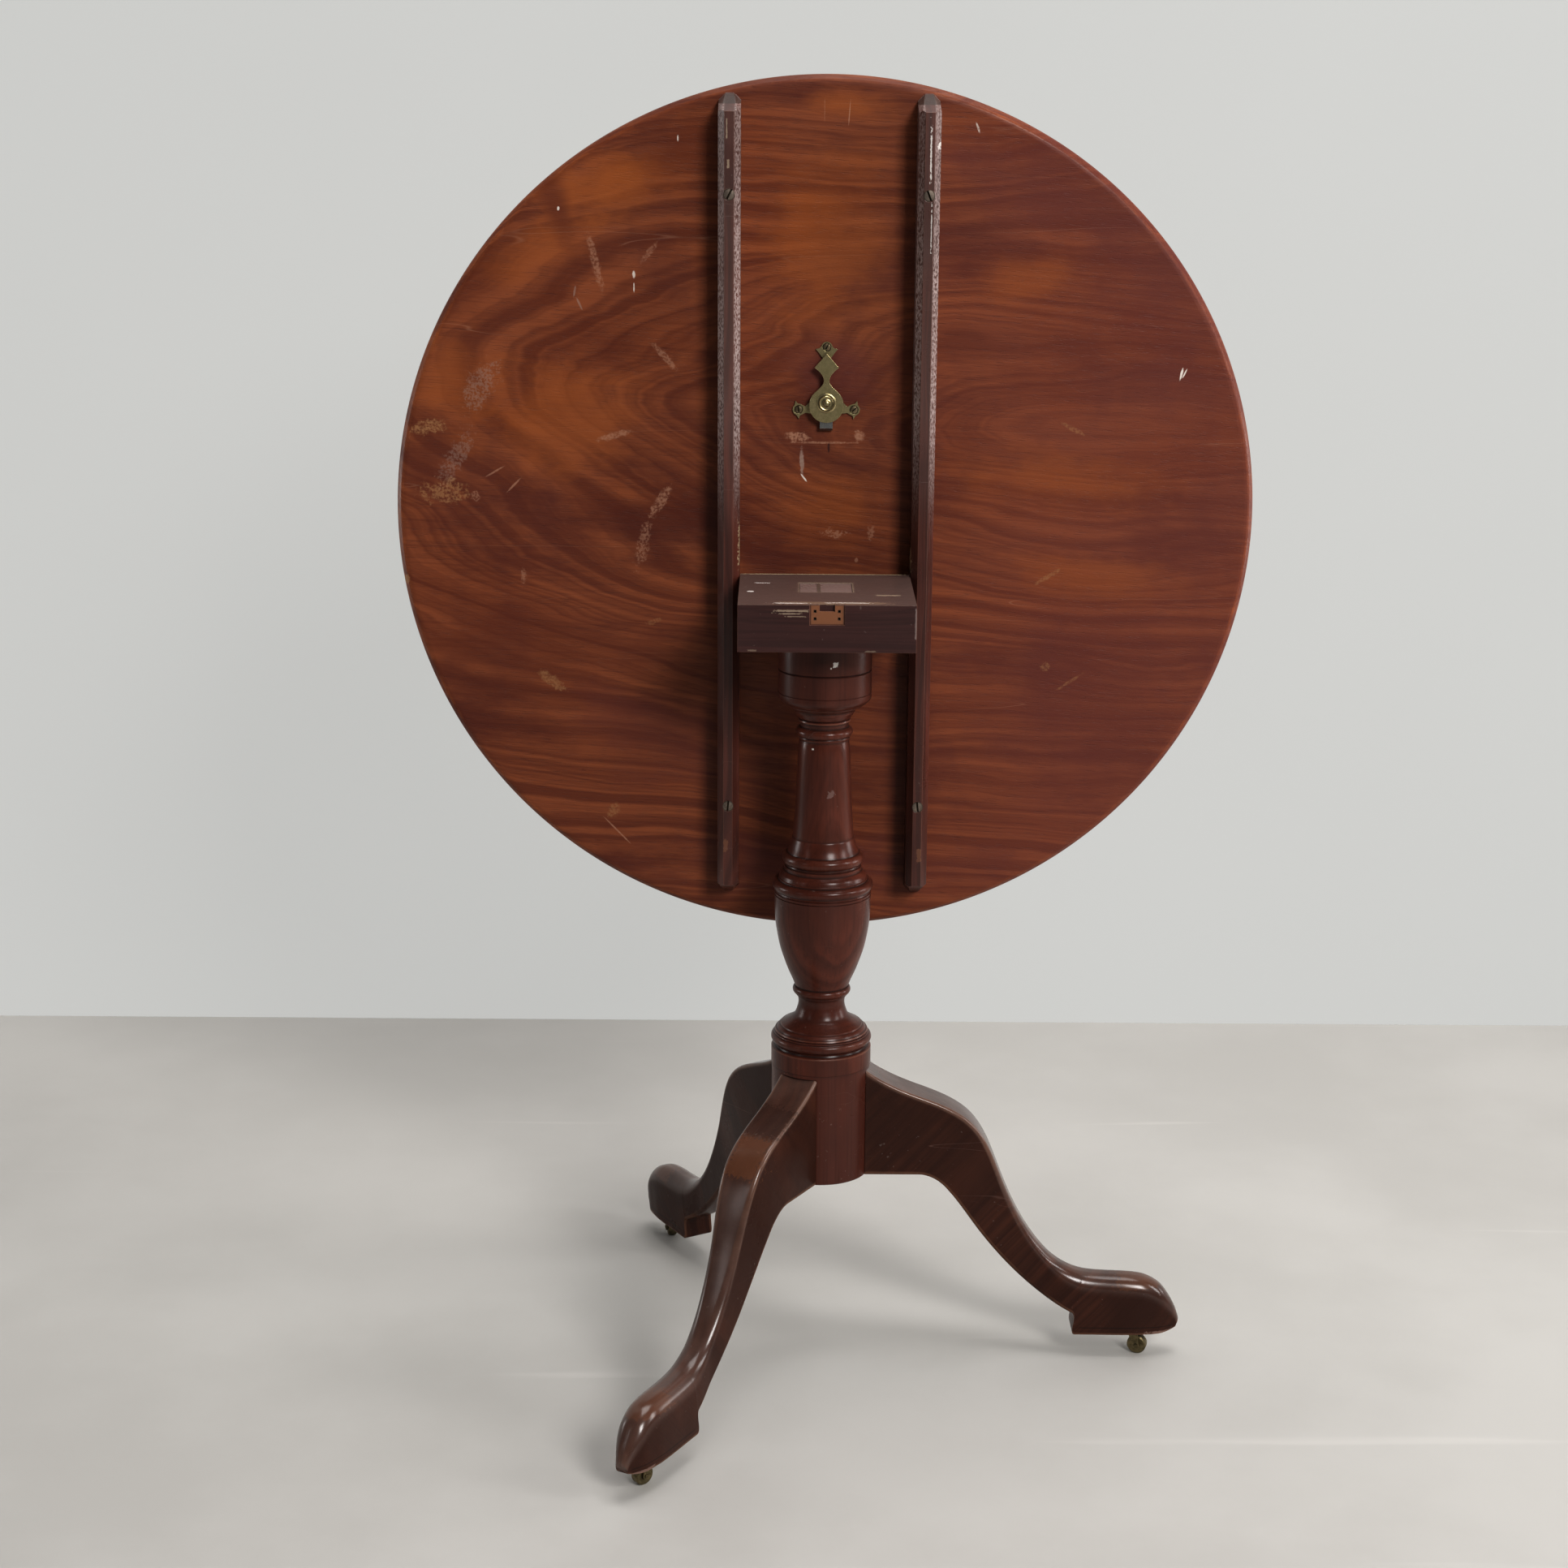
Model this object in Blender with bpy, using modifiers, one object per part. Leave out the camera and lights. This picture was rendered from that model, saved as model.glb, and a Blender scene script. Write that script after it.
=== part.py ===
"""Tilt-top table: a round single-board top hinged on the block of a turned pillar that stands on three legs.

The top is modelled tilted upright, against the back of its block, which is its place when the
table is put away.
Metres, +Z up. The origin is on the floor, under the pillar's axis. The catch side of the top faces -Y.
"""

import math

import bmesh
import bpy
from mathutils import Matrix, Vector
from mathutils.geometry import interpolate_bezier

# Fits, in metres
GAP = 0.0003  # between pieces that touch
PIVOT_CLEARANCE = 0.0004  # round a pivot pin
SIDE_CLEARANCE = 0.0005  # between the block and each bearer
SWING_CLEARANCE = 0.0005  # between the block and the underside of the top

# Block on top of the pillar
BLOCK_WIDTH = 0.148
BLOCK_DEPTH = 0.160
BLOCK_THICKNESS = 0.040
BLOCK_TOP = 0.706
PIVOT_DEPTH = 0.0165  # of the pivot axis under the block's top, and in from its back
PIVOT_PIN_RADIUS = 0.007

# Strike plate seat in the block's front edge, and the notch that the bolt drops into
SEAT_WIDTH = 0.029
SEAT_HEIGHT = 0.017
SEAT_DEPTH = 0.0012
SEAT_NAIL_SPREAD = (0.010, 0.003)
SEAT_NAIL_RADIUS = 0.0009
SEAT_NAIL_DEPTH = 0.008
NOTCH_CLEARANCE = 0.0007

# Top
TOP_DIAMETER = 0.750
TOP_THICKNESS = 0.019
TOP_FORWARD = 0.0015  # of the flat top's middle, from the pillar's axis
UNDER_EDGE_ROUND = 0.008
UPPER_EDGE_ROUND = 0.003

# Bearers
BEARER_WIDTH = 0.019
BEARER_HEIGHT = 0.034
BEARER_UPPER_INSET = 0.006  # from the top's rim
BEARER_LOWER_INSET = 0.0235
BEARER_CHAMFER = 0.0055
END_SLOPE = 0.015
END_POINT = 0.006
UPPER_SCREW_IN = 0.083  # from the bearer's upper end
LOWER_SCREW_IN = 0.088

# Screws and nails
BIG_SCREW_HEAD = 0.0046
BIG_SCREW_SHANK = 0.0021
BIG_SCREW_SINK = 0.0028
BIG_SCREW_BITE = 0.011  # into the top
SMALL_SCREW_HEAD = 0.0034
SMALL_SCREW_SHANK = 0.0014
SMALL_SCREW_SINK = 0.0009
SMALL_SCREW_BITE = 0.010
NAIL_HEAD = 0.0036
NAIL_SHANK = 0.0014
NAIL_LENGTH = 0.016

# Catch
BOLT_ENGAGE = 0.0030  # of the bolt's tip, past the block's front face when the top is flat
BOLT_LENGTH = 0.0242  # from its tip to the stud
LEVER_RADIUS = 0.0150
LEVER_DROP = 0.0022  # of the lever's round body, under the stud
LEVER_LENGTH = 0.0423  # from the stud to the tip
DIAMOND_HALF = 0.0106  # half the width of the lever's thumb piece
LEVER_THICKNESS = 0.0018
PLATE_THICKNESS = 0.0015
PLATE_RADIUS = 0.0130
EAR_SPREAD = 0.0240
EAR_DROP = 0.0064  # of the ears, under the stud
EAR_RADIUS = 0.0052
FINIAL_RISE = 0.0473  # of the finial's screw, over the stud
FINIAL_RADIUS = 0.0047
STEM_HALF = 0.0022  # half the width of the plate's stem, behind the lever's neck
BOLT_WIDTH = 0.0113
BOLT_THICKNESS = 0.0036
BOLT_HEAD_HALF = 0.0110
BOLT_HEAD_LOW = 0.0085  # under the stud
BOLT_HEAD_HIGH = 0.0038  # over the stud
BOLT_TRAVEL = 0.0053
STUD_RADIUS = 0.0020
CROWN_RADIUS = 0.0084
KNOB_RADIUS = 0.0034
DRIVE_PIN_OUT = 0.0080
DRIVE_PIN_RADIUS = 0.0013
SPRING_LEAF = 0.0005
SPRING_HALF = 0.0045
LEVER_SWING = 40.0  # degrees
SPRING_RISE = 0.0113  # of the spring's upper ends, over the stud

# Pillar
PILLAR_FOOT = 0.178
DRUM_TOP = 0.2955
PATTERN_LENGTH = 0.3705  # from the drum to the shoulder, as the turning's pattern is drawn
COLLAR_RADIUS = 0.0403
DRUM_RADIUS = 0.0441
TENON_SIZE = 0.044
WEDGE_THICKNESS = 0.003
WEDGE_DEPTH = 0.028
WEDGE_OFFSET = -0.006

# Legs
LEG_ANGLES = {"right": 0.0, "back": 120.0, "front": 240.0}
FLAT_CUT = 0.0045  # how deep the flats that the legs stand against are cut into the drum
ROOT_WIDTH = 0.0365
ROOT_TOP = 0.2760
TONGUE_INNER = 0.0250
TONGUE_TOP = 0.2620
TONGUE_NECK = 0.0120
TONGUE_TAIL = 0.0200
HEEL_OUT = 0.233
TOE_OUT = 0.3285

# Plate under the pillar
IRON_THICKNESS = 0.002
IRON_HUB = 0.030
IRON_ARM_WIDTH = 0.022
IRON_ARM_END = 0.066
HUB_NAIL_OUT = 0.020
ARM_NAIL_OUT = 0.057

# Castors
CASTOR_OUT = 0.284
CASTOR_TRAIL = 0.008
CASTOR_TURN = -20.0
WHEEL_RADIUS = 0.0087
WHEEL_WIDTH = 0.0085
WHEEL_CLEARANCE = 0.0006  # between the wheel and the fork's crown
AXLE_RADIUS = 0.0016
PINTLE_RADIUS = 0.0040
PINTLE_LENGTH = 0.018
FORK_CROWN = 0.0020
FORK_CHEEK = 0.0016
CASTOR_PLATE = 0.0014
CASTOR_PLATE_RADIUS = 0.0110

# How far a cutter or an overlap goes past the surface that it works on
OVERCUT = 0.010
SHORT_OVERCUT = 0.005
CUT_THROUGH = 0.2  # longer than any piece that it cuts
TONGUE_OVERLAP = 0.004
HOUSING_RISE = 0.004  # of the drum's full girth, over the legs' roots
DRUM_STEP = 0.0005
POINT_SLOPE = 0.35  # how steeply the facets at a bearer's end lean back
STOP_HEIGHT = 0.0018
CROWN_BACK = 0.006  # of a fork's crown, behind its pintle
FORK_BAR = 0.0035
ROUND_STEPS = 24
FINE_STEPS = 16
TOP_STEPS = 72

# Places worked out from the sizes above, with heights on the tilted top counted up from the pivot axis
PIVOT = Vector((0.0, BLOCK_DEPTH / 2 - PIVOT_DEPTH, BLOCK_TOP - PIVOT_DEPTH))
UNDERSIDE = PIVOT.y + PIVOT_DEPTH + SWING_CLEARANCE
TOP_CENTRE_UP = PIVOT.y + TOP_FORWARD
BLOCK_BOTTOM = BLOCK_TOP - BLOCK_THICKNESS
BEARER_X = BLOCK_WIDTH / 2 + SIDE_CLEARANCE + BEARER_WIDTH / 2
RIM_UP = math.sqrt((TOP_DIAMETER / 2) ** 2 - BEARER_X**2)
BEARER_UP = TOP_CENTRE_UP + RIM_UP - BEARER_UPPER_INSET
BEARER_DOWN = RIM_UP - TOP_CENTRE_UP - BEARER_LOWER_INSET
BEARER_BACK = UNDERSIDE - GAP
BEARER_FRONT = BEARER_BACK - BEARER_HEIGHT
PLATE_FRONT = UNDERSIDE - GAP - PLATE_THICKNESS
BOLT_BACK = PLATE_FRONT - GAP
BOLT_FRONT = BOLT_BACK - BOLT_THICKNESS
LEVER_BACK = BOLT_FRONT - GAP
LEVER_FRONT = LEVER_BACK - LEVER_THICKNESS
BOLT_TIP_UP = BLOCK_DEPTH - PIVOT_DEPTH - BOLT_ENGAGE
STUD_UP = BOLT_TIP_UP + BOLT_LENGTH
LEVER_CENTRE_UP = STUD_UP - LEVER_DROP
LEVER_TIP_UP = STUD_UP + LEVER_LENGTH
EAR_UP = STUD_UP - EAR_DROP
FINIAL_UP = STUD_UP + FINIAL_RISE
SPRING_TOP_UP = STUD_UP + SPRING_RISE
FLAT_DISTANCE = DRUM_RADIUS - FLAT_CUT
SOLE = 2 * WHEEL_RADIUS + WHEEL_CLEARANCE + FORK_CROWN + CASTOR_PLATE + 2 * GAP
IRON_TOP = PILLAR_FOOT - GAP
BIG_SCREW = (BIG_SCREW_HEAD, BIG_SCREW_SHANK, BIG_SCREW_SINK)
SMALL_SCREW = (SMALL_SCREW_HEAD, SMALL_SCREW_SHANK, SMALL_SCREW_SINK)


# ---------------------------------------------------------------- helpers


def clear_scene():
    for old in list(bpy.data.objects):
        bpy.data.objects.remove(old, do_unlink=True)


def collection(name, hidden=False):
    made = bpy.data.collections.new(name)
    made.hide_render = hidden
    bpy.context.scene.collection.children.link(made)
    return made


def material(name, colour, roughness, metallic=0.0):
    made = bpy.data.materials.new(name)
    made.use_nodes = True
    made.diffuse_color = (*colour, 1.0)
    shader = made.node_tree.nodes["Principled BSDF"]
    shader.inputs["Base Color"].default_value = (*colour, 1.0)
    shader.inputs["Roughness"].default_value = roughness
    shader.inputs["Metallic"].default_value = metallic
    return made


def mesh_object(name, bm):
    """An object from a bmesh, with its faces turned outwards."""
    bmesh.ops.recalc_face_normals(bm, faces=bm.faces)
    mesh = bpy.data.meshes.new(name)
    bm.to_mesh(mesh)
    bm.free()
    made = bpy.data.objects.new(name, mesh)
    HELPERS.objects.link(made)
    made.hide_render = True
    made.display_type = "WIRE"
    return made


def box(name, low, high):
    low, high = Vector(low), Vector(high)
    bm = bmesh.new()
    bmesh.ops.create_cube(bm, size=1.0)
    bmesh.ops.scale(bm, vec=high - low, verts=bm.verts)
    bmesh.ops.translate(bm, vec=(low + high) / 2, verts=bm.verts)
    return mesh_object(name, bm)


def rod(name, start, end, radius, steps=FINE_STEPS, end_radius=None):
    """A round bar, or a cone, from one point to another."""
    start, end = Vector(start), Vector(end)
    along = end - start
    bm = bmesh.new()
    bmesh.ops.create_cone(
        bm,
        cap_ends=True,
        segments=steps,
        radius1=radius,
        radius2=radius if end_radius is None else end_radius,
        depth=along.length,
    )
    turn = Vector((0, 0, 1)).rotation_difference(along).to_matrix().to_4x4()
    bmesh.ops.transform(bm, matrix=Matrix.Translation((start + end) / 2) @ turn, verts=bm.verts)
    return mesh_object(name, bm)


def prism(name, outline, low, high, place=None):
    """An outline in X and Y, carried from low to high along Z, and then set in place."""
    bm = bmesh.new()
    face = bm.faces.new([bm.verts.new((x, y, low)) for x, y in outline])
    carried = bmesh.ops.extrude_face_region(bm, geom=[face])["geom"]
    moved = [item for item in carried if isinstance(item, bmesh.types.BMVert)]
    bmesh.ops.translate(bm, vec=(0, 0, high - low), verts=moved)
    if place is not None:
        bmesh.ops.transform(bm, matrix=place, verts=bm.verts)
    return mesh_object(name, bm)


def turned(name, profile, steps=ROUND_STEPS):
    """A profile of (radius, height) points, from top to bottom, turned round Z."""
    mesh = bpy.data.meshes.new(name)
    points = [(radius, 0.0, height) for radius, height in profile]
    mesh.from_pydata(points, [(i, i + 1) for i in range(len(points) - 1)], [])
    made = bpy.data.objects.new(name, mesh)
    HELPERS.objects.link(made)
    made.hide_render = True
    screw = made.modifiers.new("Turn", "SCREW")
    screw.steps = steps
    screw.render_steps = steps
    screw.use_merge_vertices = True
    screw.merge_threshold = 0.00001
    return made


def change(target, other, operation="DIFFERENCE"):
    """Cuts the other object from the target, or joins it on."""
    step = target.modifiers.new(operation.title(), "BOOLEAN")
    step.operation = operation
    step.solver = "EXACT"
    step.object = other


def arc(centre, radius, first, last, steps):
    """Points on an arc, by angle in degrees from +X towards +Y."""
    turns = [math.radians(first + (last - first) * i / steps) for i in range(steps + 1)]
    return [(centre[0] + radius * math.cos(a), centre[1] + radius * math.sin(a)) for a in turns]


def finished(helper, name, look, parent=None, smooth=40.0):
    """The helper's evaluated shape as a node of its own, under its parent."""
    bpy.context.view_layer.update()
    graph = bpy.context.evaluated_depsgraph_get()
    mesh = bpy.data.meshes.new_from_object(helper.evaluated_get(graph))
    mesh.name = name
    mesh.transform(helper.matrix_world)
    mesh.materials.clear()
    mesh.materials.append(look)
    mesh.shade_smooth()
    mesh.set_sharp_from_angle(angle=math.radians(smooth))
    return node(name, mesh, parent)


def node(name, mesh, parent=None, place=None):
    """A visible object with this mesh, whose own origin is its parent's when it has one."""
    made = bpy.data.objects.new(name, mesh)
    PARTS.objects.link(made)
    if parent is not None:
        made.parent = parent
        made.matrix_parent_inverse = parent.matrix_basis.inverted()
    if place is not None:
        made.matrix_basis = place
    return made


def axis_empty(name, place):
    """An empty on the axis of a joint, which its moving pieces hang from."""
    made = bpy.data.objects.new(name, None)
    made.empty_display_size = 0.02
    made.matrix_basis = place
    PARTS.objects.link(made)
    return made


def upright(x, up, y=0.0):
    """A place on the top: x across, up from the pivot axis, y in depth."""
    return Vector((x, y, PIVOT.z + up))


# The helper's local X and Y lie across and up the underside of the top, and its local Z points to -Y.
UNDERSIDE_TURN = Matrix.Rotation(math.radians(90), 4, "X")


def sheet(name, outline, back, front):
    """An outline in X across and Z up, as a plate between two depths in Y."""
    place = Matrix.Translation((0, 0, PIVOT.z)) @ UNDERSIDE_TURN
    return prism(name, outline, -back, -front, place)


def woodscrew(name, head_at, into, sizes, length, parent):
    """A countersunk screw: its head's face is at head_at, and it points along into."""
    head, shank, sink = sizes
    rim = 0.0003
    profile = [
        (0.0, 0.0),
        (head, 0.0),
        (head, -rim),
        (shank, -rim - sink),
        (shank, -length * 0.8),
        (shank * 0.3, -length),
        (0.0, -length),
    ]
    helper = turned(name + "_shape", profile, 12)
    turn = Vector((0, 0, -1)).rotation_difference(Vector(into))
    helper.matrix_basis = Matrix.Translation(head_at) @ turn.to_matrix().to_4x4()
    return finished(helper, name, IRON, parent)


def screw_hole(target, head_at, into, sizes, length):
    """The room that a countersunk screw takes, with its clearance, and open past its head."""
    head, shank, sink = sizes
    head_at, into = Vector(head_at), Vector(into)
    narrow = shank + GAP
    wide = head + 2 * GAP
    above = 0.002
    spread = wide + above * (wide - narrow) / (sink + 3 * GAP)
    change(target, rod("screw_room", head_at - into * above, head_at + into * (length + GAP), narrow, 12))
    cone_end = head_at + into * (sink + 3 * GAP)
    change(target, rod("screw_sink", head_at - into * above, cone_end, spread, 12, narrow))


# ---------------------------------------------------------------- pillar and block


def pillar_profile():
    """The turning, from the shoulder under the block down to the foot.

    Above the drum its heights are drawn as on a pattern, which is stretched to the length there is.
    """
    collar, drum = COLLAR_RADIUS, DRUM_RADIUS
    groove = 0.0010
    pattern = [(collar, 0.6350), (collar - groove, 0.6340), (collar, 0.6330), (collar, 0.6125)]
    pattern += [(collar - 0.0013, 0.6094), (collar - 0.0072, 0.6050), (collar - 0.0113, 0.6029)]
    pattern += [(0.0265, 0.6005), (0.0250, 0.5968), (0.0232, 0.5940), (0.0214, 0.5925), (0.0211, 0.5880)]
    pattern += arc((0.0205, 0.5810), 0.0042, 70, -70, 4)
    pattern += [(0.0215, 0.5740), (0.0225, 0.5640), (0.0238, 0.5350), (0.0250, 0.5080), (0.0266, 0.4870)]
    pattern += [(0.0290, 0.4790), (0.0310, 0.4735)]
    pattern += arc((0.0300, 0.4680), 0.0055, 60, -60, 4)
    pattern += [(0.0330, 0.4605), (0.0335, 0.4575), (0.0370, 0.4540), (0.0385, 0.4500)]
    pattern += arc((0.0395, 0.4440), 0.0045, 80, -50, 4)
    pattern += [(0.0422, 0.4390), (0.0419, 0.4200), (0.0411, 0.4090), (0.0390, 0.3970), (0.0371, 0.3865)]
    pattern += [(0.0340, 0.3765), (0.0300, 0.3660), (0.0256, 0.3565), (0.0240, 0.3520)]
    pattern += arc((0.0215, 0.3473), 0.0040, 60, -60, 4)
    pattern += [(0.0222, 0.3420), (0.0206, 0.3390), (0.0203, 0.3350), (0.0213, 0.3300), (0.0240, 0.3235)]
    pattern += [(0.0290, 0.3195), (0.0356, 0.3155), (0.0395, 0.3115), (0.0415, 0.3090)]
    pattern += arc((drum - 0.0041, 0.3035), 0.0044, 80, -80, 4)
    pattern += [(drum - 0.0016, 0.2985), (drum - 0.0016, 0.2965)]
    shoulder = BLOCK_BOTTOM - GAP
    stretch = (shoulder + GAP - DRUM_TOP) / PATTERN_LENGTH
    profile = [(0.0, shoulder), (collar, shoulder)]
    profile += [(radius, DRUM_TOP + (height - DRUM_TOP) * stretch) for radius, height in pattern]
    housing = ROOT_TOP + HOUSING_RISE
    profile += [(drum, DRUM_TOP), (drum, housing), (drum - DRUM_STEP, housing - DRUM_STEP)]
    profile += [(drum - DRUM_STEP, PILLAR_FOOT), (0.0, PILLAR_FOOT)]
    return profile


def tongue_outline(clearance):
    """The dovetail in plan: narrow where it leaves the leg, and wide at its inner end."""
    neck, tail = TONGUE_NECK / 2 + clearance, TONGUE_TAIL / 2 + clearance
    inner = TONGUE_INNER - clearance
    outer = FLAT_DISTANCE + TONGUE_OVERLAP
    return [(inner, -tail), (outer, -neck), (outer, neck), (inner, tail)]


def make_pillar():
    shape = turned("pillar_shape", pillar_profile())
    half = TENON_SIZE / 2
    sunk = 0.010
    tenon = box("tenon", (-half, -half, BLOCK_BOTTOM - sunk), (half, half, BLOCK_TOP - GAP))
    change(shape, tenon, "UNION")
    kerf_half = WEDGE_THICKNESS / 2 + GAP
    kerf_low = (WEDGE_OFFSET - kerf_half, -TENON_SIZE, BLOCK_TOP - WEDGE_DEPTH - GAP)
    kerf_high = (WEDGE_OFFSET + kerf_half, TENON_SIZE, BLOCK_TOP + GAP)
    change(shape, box("kerf", kerf_low, kerf_high))
    half = ROOT_WIDTH / 2 + GAP
    for angle in LEG_ANGLES.values():
        turn = Matrix.Rotation(math.radians(angle), 4, "Z")
        clear = DRUM_RADIUS * 2
        flat = [(FLAT_DISTANCE, -half), (clear, -half), (clear, half), (FLAT_DISTANCE, half)]
        change(shape, prism("flat", flat, PILLAR_FOOT - OVERCUT, ROOT_TOP + GAP, turn))
        socket = tongue_outline(GAP)
        change(shape, prism("socket", socket, PILLAR_FOOT - OVERCUT, TONGUE_TOP + GAP, turn))
        nail = nail_place(angle + 60, HUB_NAIL_OUT)
        top = nail + Vector((0, 0, NAIL_LENGTH))
        change(shape, rod("nail_room", nail - Vector((0, 0, SHORT_OVERCUT)), top, NAIL_SHANK + GAP, 8))
    finished(shape, "pillar", DARK_WOOD, None, 35)


def make_wedge():
    half = WEDGE_THICKNESS / 2
    depth = TENON_SIZE / 2
    low = (WEDGE_OFFSET - half, -depth, BLOCK_TOP - WEDGE_DEPTH)
    high = (WEDGE_OFFSET + half, depth, BLOCK_TOP - GAP)
    finished(box("wedge_shape", low, high), "tenon_wedge", DARK_WOOD)


def make_block():
    """The block, with the pivot pins in one with it and its back upper edge rounded about their axis."""
    front, back = -BLOCK_DEPTH / 2, BLOCK_DEPTH / 2
    outline = [(front, BLOCK_BOTTOM), (back, BLOCK_BOTTOM)]
    outline += arc((PIVOT.y, PIVOT.z), PIVOT_DEPTH, 0, 90, 8)
    outline += [(front, BLOCK_TOP)]
    # Local X, Y and Z of the prism become Y, Z and X.
    side_on = Matrix(((0, 0, 1, 0), (1, 0, 0, 0), (0, 1, 0, 0), (0, 0, 0, 1)))
    shape = prism("block_shape", outline, -BLOCK_WIDTH / 2, BLOCK_WIDTH / 2, side_on)
    reach = BLOCK_WIDTH / 2 + SIDE_CLEARANCE + BEARER_WIDTH
    pins = rod("pins", (-reach, PIVOT.y, PIVOT.z), (reach, PIVOT.y, PIVOT.z), PIVOT_PIN_RADIUS)
    change(shape, pins, "UNION")
    half = TENON_SIZE / 2 + GAP
    change(shape, box("mortise", (-half, -half, BLOCK_BOTTOM - OVERCUT), (half, half, BLOCK_TOP + OVERCUT)))
    seat_low = (-SEAT_WIDTH / 2, front - OVERCUT, BLOCK_TOP - SEAT_HEIGHT)
    seat_high = (SEAT_WIDTH / 2, front + SEAT_DEPTH, BLOCK_TOP + OVERCUT)
    change(shape, box("seat", seat_low, seat_high))
    notch_half = BOLT_WIDTH / 2 + NOTCH_CLEARANCE
    bolt_end = PIVOT.y - BOLT_TIP_UP
    notch_floor = PIVOT.z + BOLT_FRONT - PIVOT.y - NOTCH_CLEARANCE
    notch_low = (-notch_half, front - OVERCUT, notch_floor)
    notch_high = (notch_half, bolt_end + 2 * NOTCH_CLEARANCE, BLOCK_TOP + OVERCUT)
    change(shape, box("notch", notch_low, notch_high))
    across, rise = SEAT_NAIL_SPREAD
    middle = BLOCK_TOP - SEAT_HEIGHT / 2
    for x in (-across, across):
        for z in (middle - rise, middle + rise):
            start = (x, front - OVERCUT, z)
            end = (x, front + SEAT_DEPTH + SEAT_NAIL_DEPTH, z)
            change(shape, rod("seat_nail_hole", start, end, SEAT_NAIL_RADIUS, 8))
    finished(shape, "block", DARK_WOOD)


# ---------------------------------------------------------------- legs

# Each knot is a place on the leg's side view (out from the pillar, height) and its slope there in degrees.
# The upper and the lower line have a knot for each section of the leg, given with the section's width and
# the radius of its upper and of its lower corners.
ROOT_OUT = FLAT_DISTANCE + GAP
LEG_SECTIONS = (
    # upper out, height, slope; lower out, height, slope; width, upper corner, lower corner
    ((ROOT_OUT, ROOT_TOP, -37), (ROOT_OUT, PILLAR_FOOT, 0), ROOT_WIDTH, 0.003, 0.002),
    ((0.088, 0.2515, -20), (0.088, PILLAR_FOOT, 0), ROOT_WIDTH, 0.003, 0.002),
    ((0.139, 0.2215, -52), (0.112, 0.166, -48), 0.0355, 0.004, 0.003),
    ((0.165, 0.1660, -68), (0.147, 0.118, -53), 0.028, 0.006, 0.004),
    ((0.205, 0.0985, -47), (0.205, 0.0575, -38), 0.024, 0.009, 0.006),
    ((0.2380, 0.0788, -13), (HEEL_OUT - 0.0035, 0.043, -25), 0.030, 0.012, 0.002),
    ((0.2420, 0.0780, -9), (HEEL_OUT, SOLE, 0), 0.030, 0.012, 0.0012),
    ((0.2900, 0.0745, -8), (0.285, SOLE, 0), 0.0315, 0.013, 0.0012),
    ((0.3140, 0.0615, -52), (0.308, SOLE, 0), 0.026, 0.012, 0.0012),
    ((TOE_OUT, 0.0340, -76), (TOE_OUT - 0.003, SOLE + 0.004, 30), 0.010, 0.004, 0.0012),
)
SECTION_STEPS = 3
CORNER_STEPS = 2


def slope_line(knots):
    """Points along a smooth line through knots of (out, height, slope)."""
    line = []
    for (x0, z0, slope0), (x1, z1, slope1) in zip(knots, knots[1:]):
        reach = math.hypot(x1 - x0, z1 - z0) / 3
        a0, a1 = math.radians(slope0), math.radians(slope1)
        handle0 = (x0 + reach * math.cos(a0), z0 + reach * math.sin(a0), 0)
        handle1 = (x1 - reach * math.cos(a1), z1 - reach * math.sin(a1), 0)
        line += interpolate_bezier((x0, z0, 0), handle0, handle1, (x1, z1, 0), SECTION_STEPS + 1)[:-1]
    return line + [Vector((*knots[-1][:2], 0))]


def eased(values):
    """One value for each section, with as many in between as the lines have."""
    spread = []
    for first, last in zip(values, values[1:]):
        spread += [first + (last - first) * i / SECTION_STEPS for i in range(SECTION_STEPS)]
    return spread + [values[-1]]


def section_ring(bm, upper, lower, width, upper_corner, lower_corner):
    """A rounded rectangle that stands between a point of the upper line and one of the lower line."""
    down = (lower - upper).normalized()
    height = (lower - upper).length
    ring = []
    corners = (
        (1, 0.0, upper_corner, 90),
        (1, height, lower_corner, 0),
        (-1, height, lower_corner, -90),
        (-1, 0.0, upper_corner, 180),
    )
    for side, end, radius, first in corners:
        centre_across = side * (width / 2 - radius)
        centre_down = radius if end == 0.0 else end - radius
        for i in range(CORNER_STEPS + 1):
            turn = math.radians(first - 90 * i / CORNER_STEPS)
            across = centre_across + radius * math.cos(turn)
            along = centre_down - radius * math.sin(turn)
            point = upper + down * along
            ring.append(bm.verts.new((point.x, across, point.y)))
    return ring


def leg_shape():
    """One leg pointing along +X: its dovetail tongue, the scrolled leg and the slipper foot, as one loft."""
    upper_line = slope_line([section[0] for section in LEG_SECTIONS])
    lower_line = slope_line([section[1] for section in LEG_SECTIONS])
    widths = eased([section[2] for section in LEG_SECTIONS])
    upper_corners = eased([section[3] for section in LEG_SECTIONS])
    lower_corners = eased([section[4] for section in LEG_SECTIONS])
    small = 0.0004
    tongue_foot = PILLAR_FOOT + GAP
    stations = [
        (
            Vector((TONGUE_INNER, TONGUE_TOP, 0)),
            Vector((TONGUE_INNER, tongue_foot, 0)),
            TONGUE_TAIL,
            small,
            small,
        ),
        (Vector((ROOT_OUT, TONGUE_TOP, 0)), Vector((ROOT_OUT, tongue_foot, 0)), TONGUE_NECK, small, small),
    ]
    stations += zip(upper_line, lower_line, widths, upper_corners, lower_corners)
    bm = bmesh.new()
    rings = [section_ring(bm, *station) for station in stations]
    for ring, after in zip(rings, rings[1:]):
        for i in range(len(ring)):
            j = (i + 1) % len(ring)
            bm.faces.new((ring[i], ring[j], after[j], after[i]))
    bm.faces.new(rings[0])
    bm.faces.new(rings[-1])
    return mesh_object("leg_shape", bm)


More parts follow.
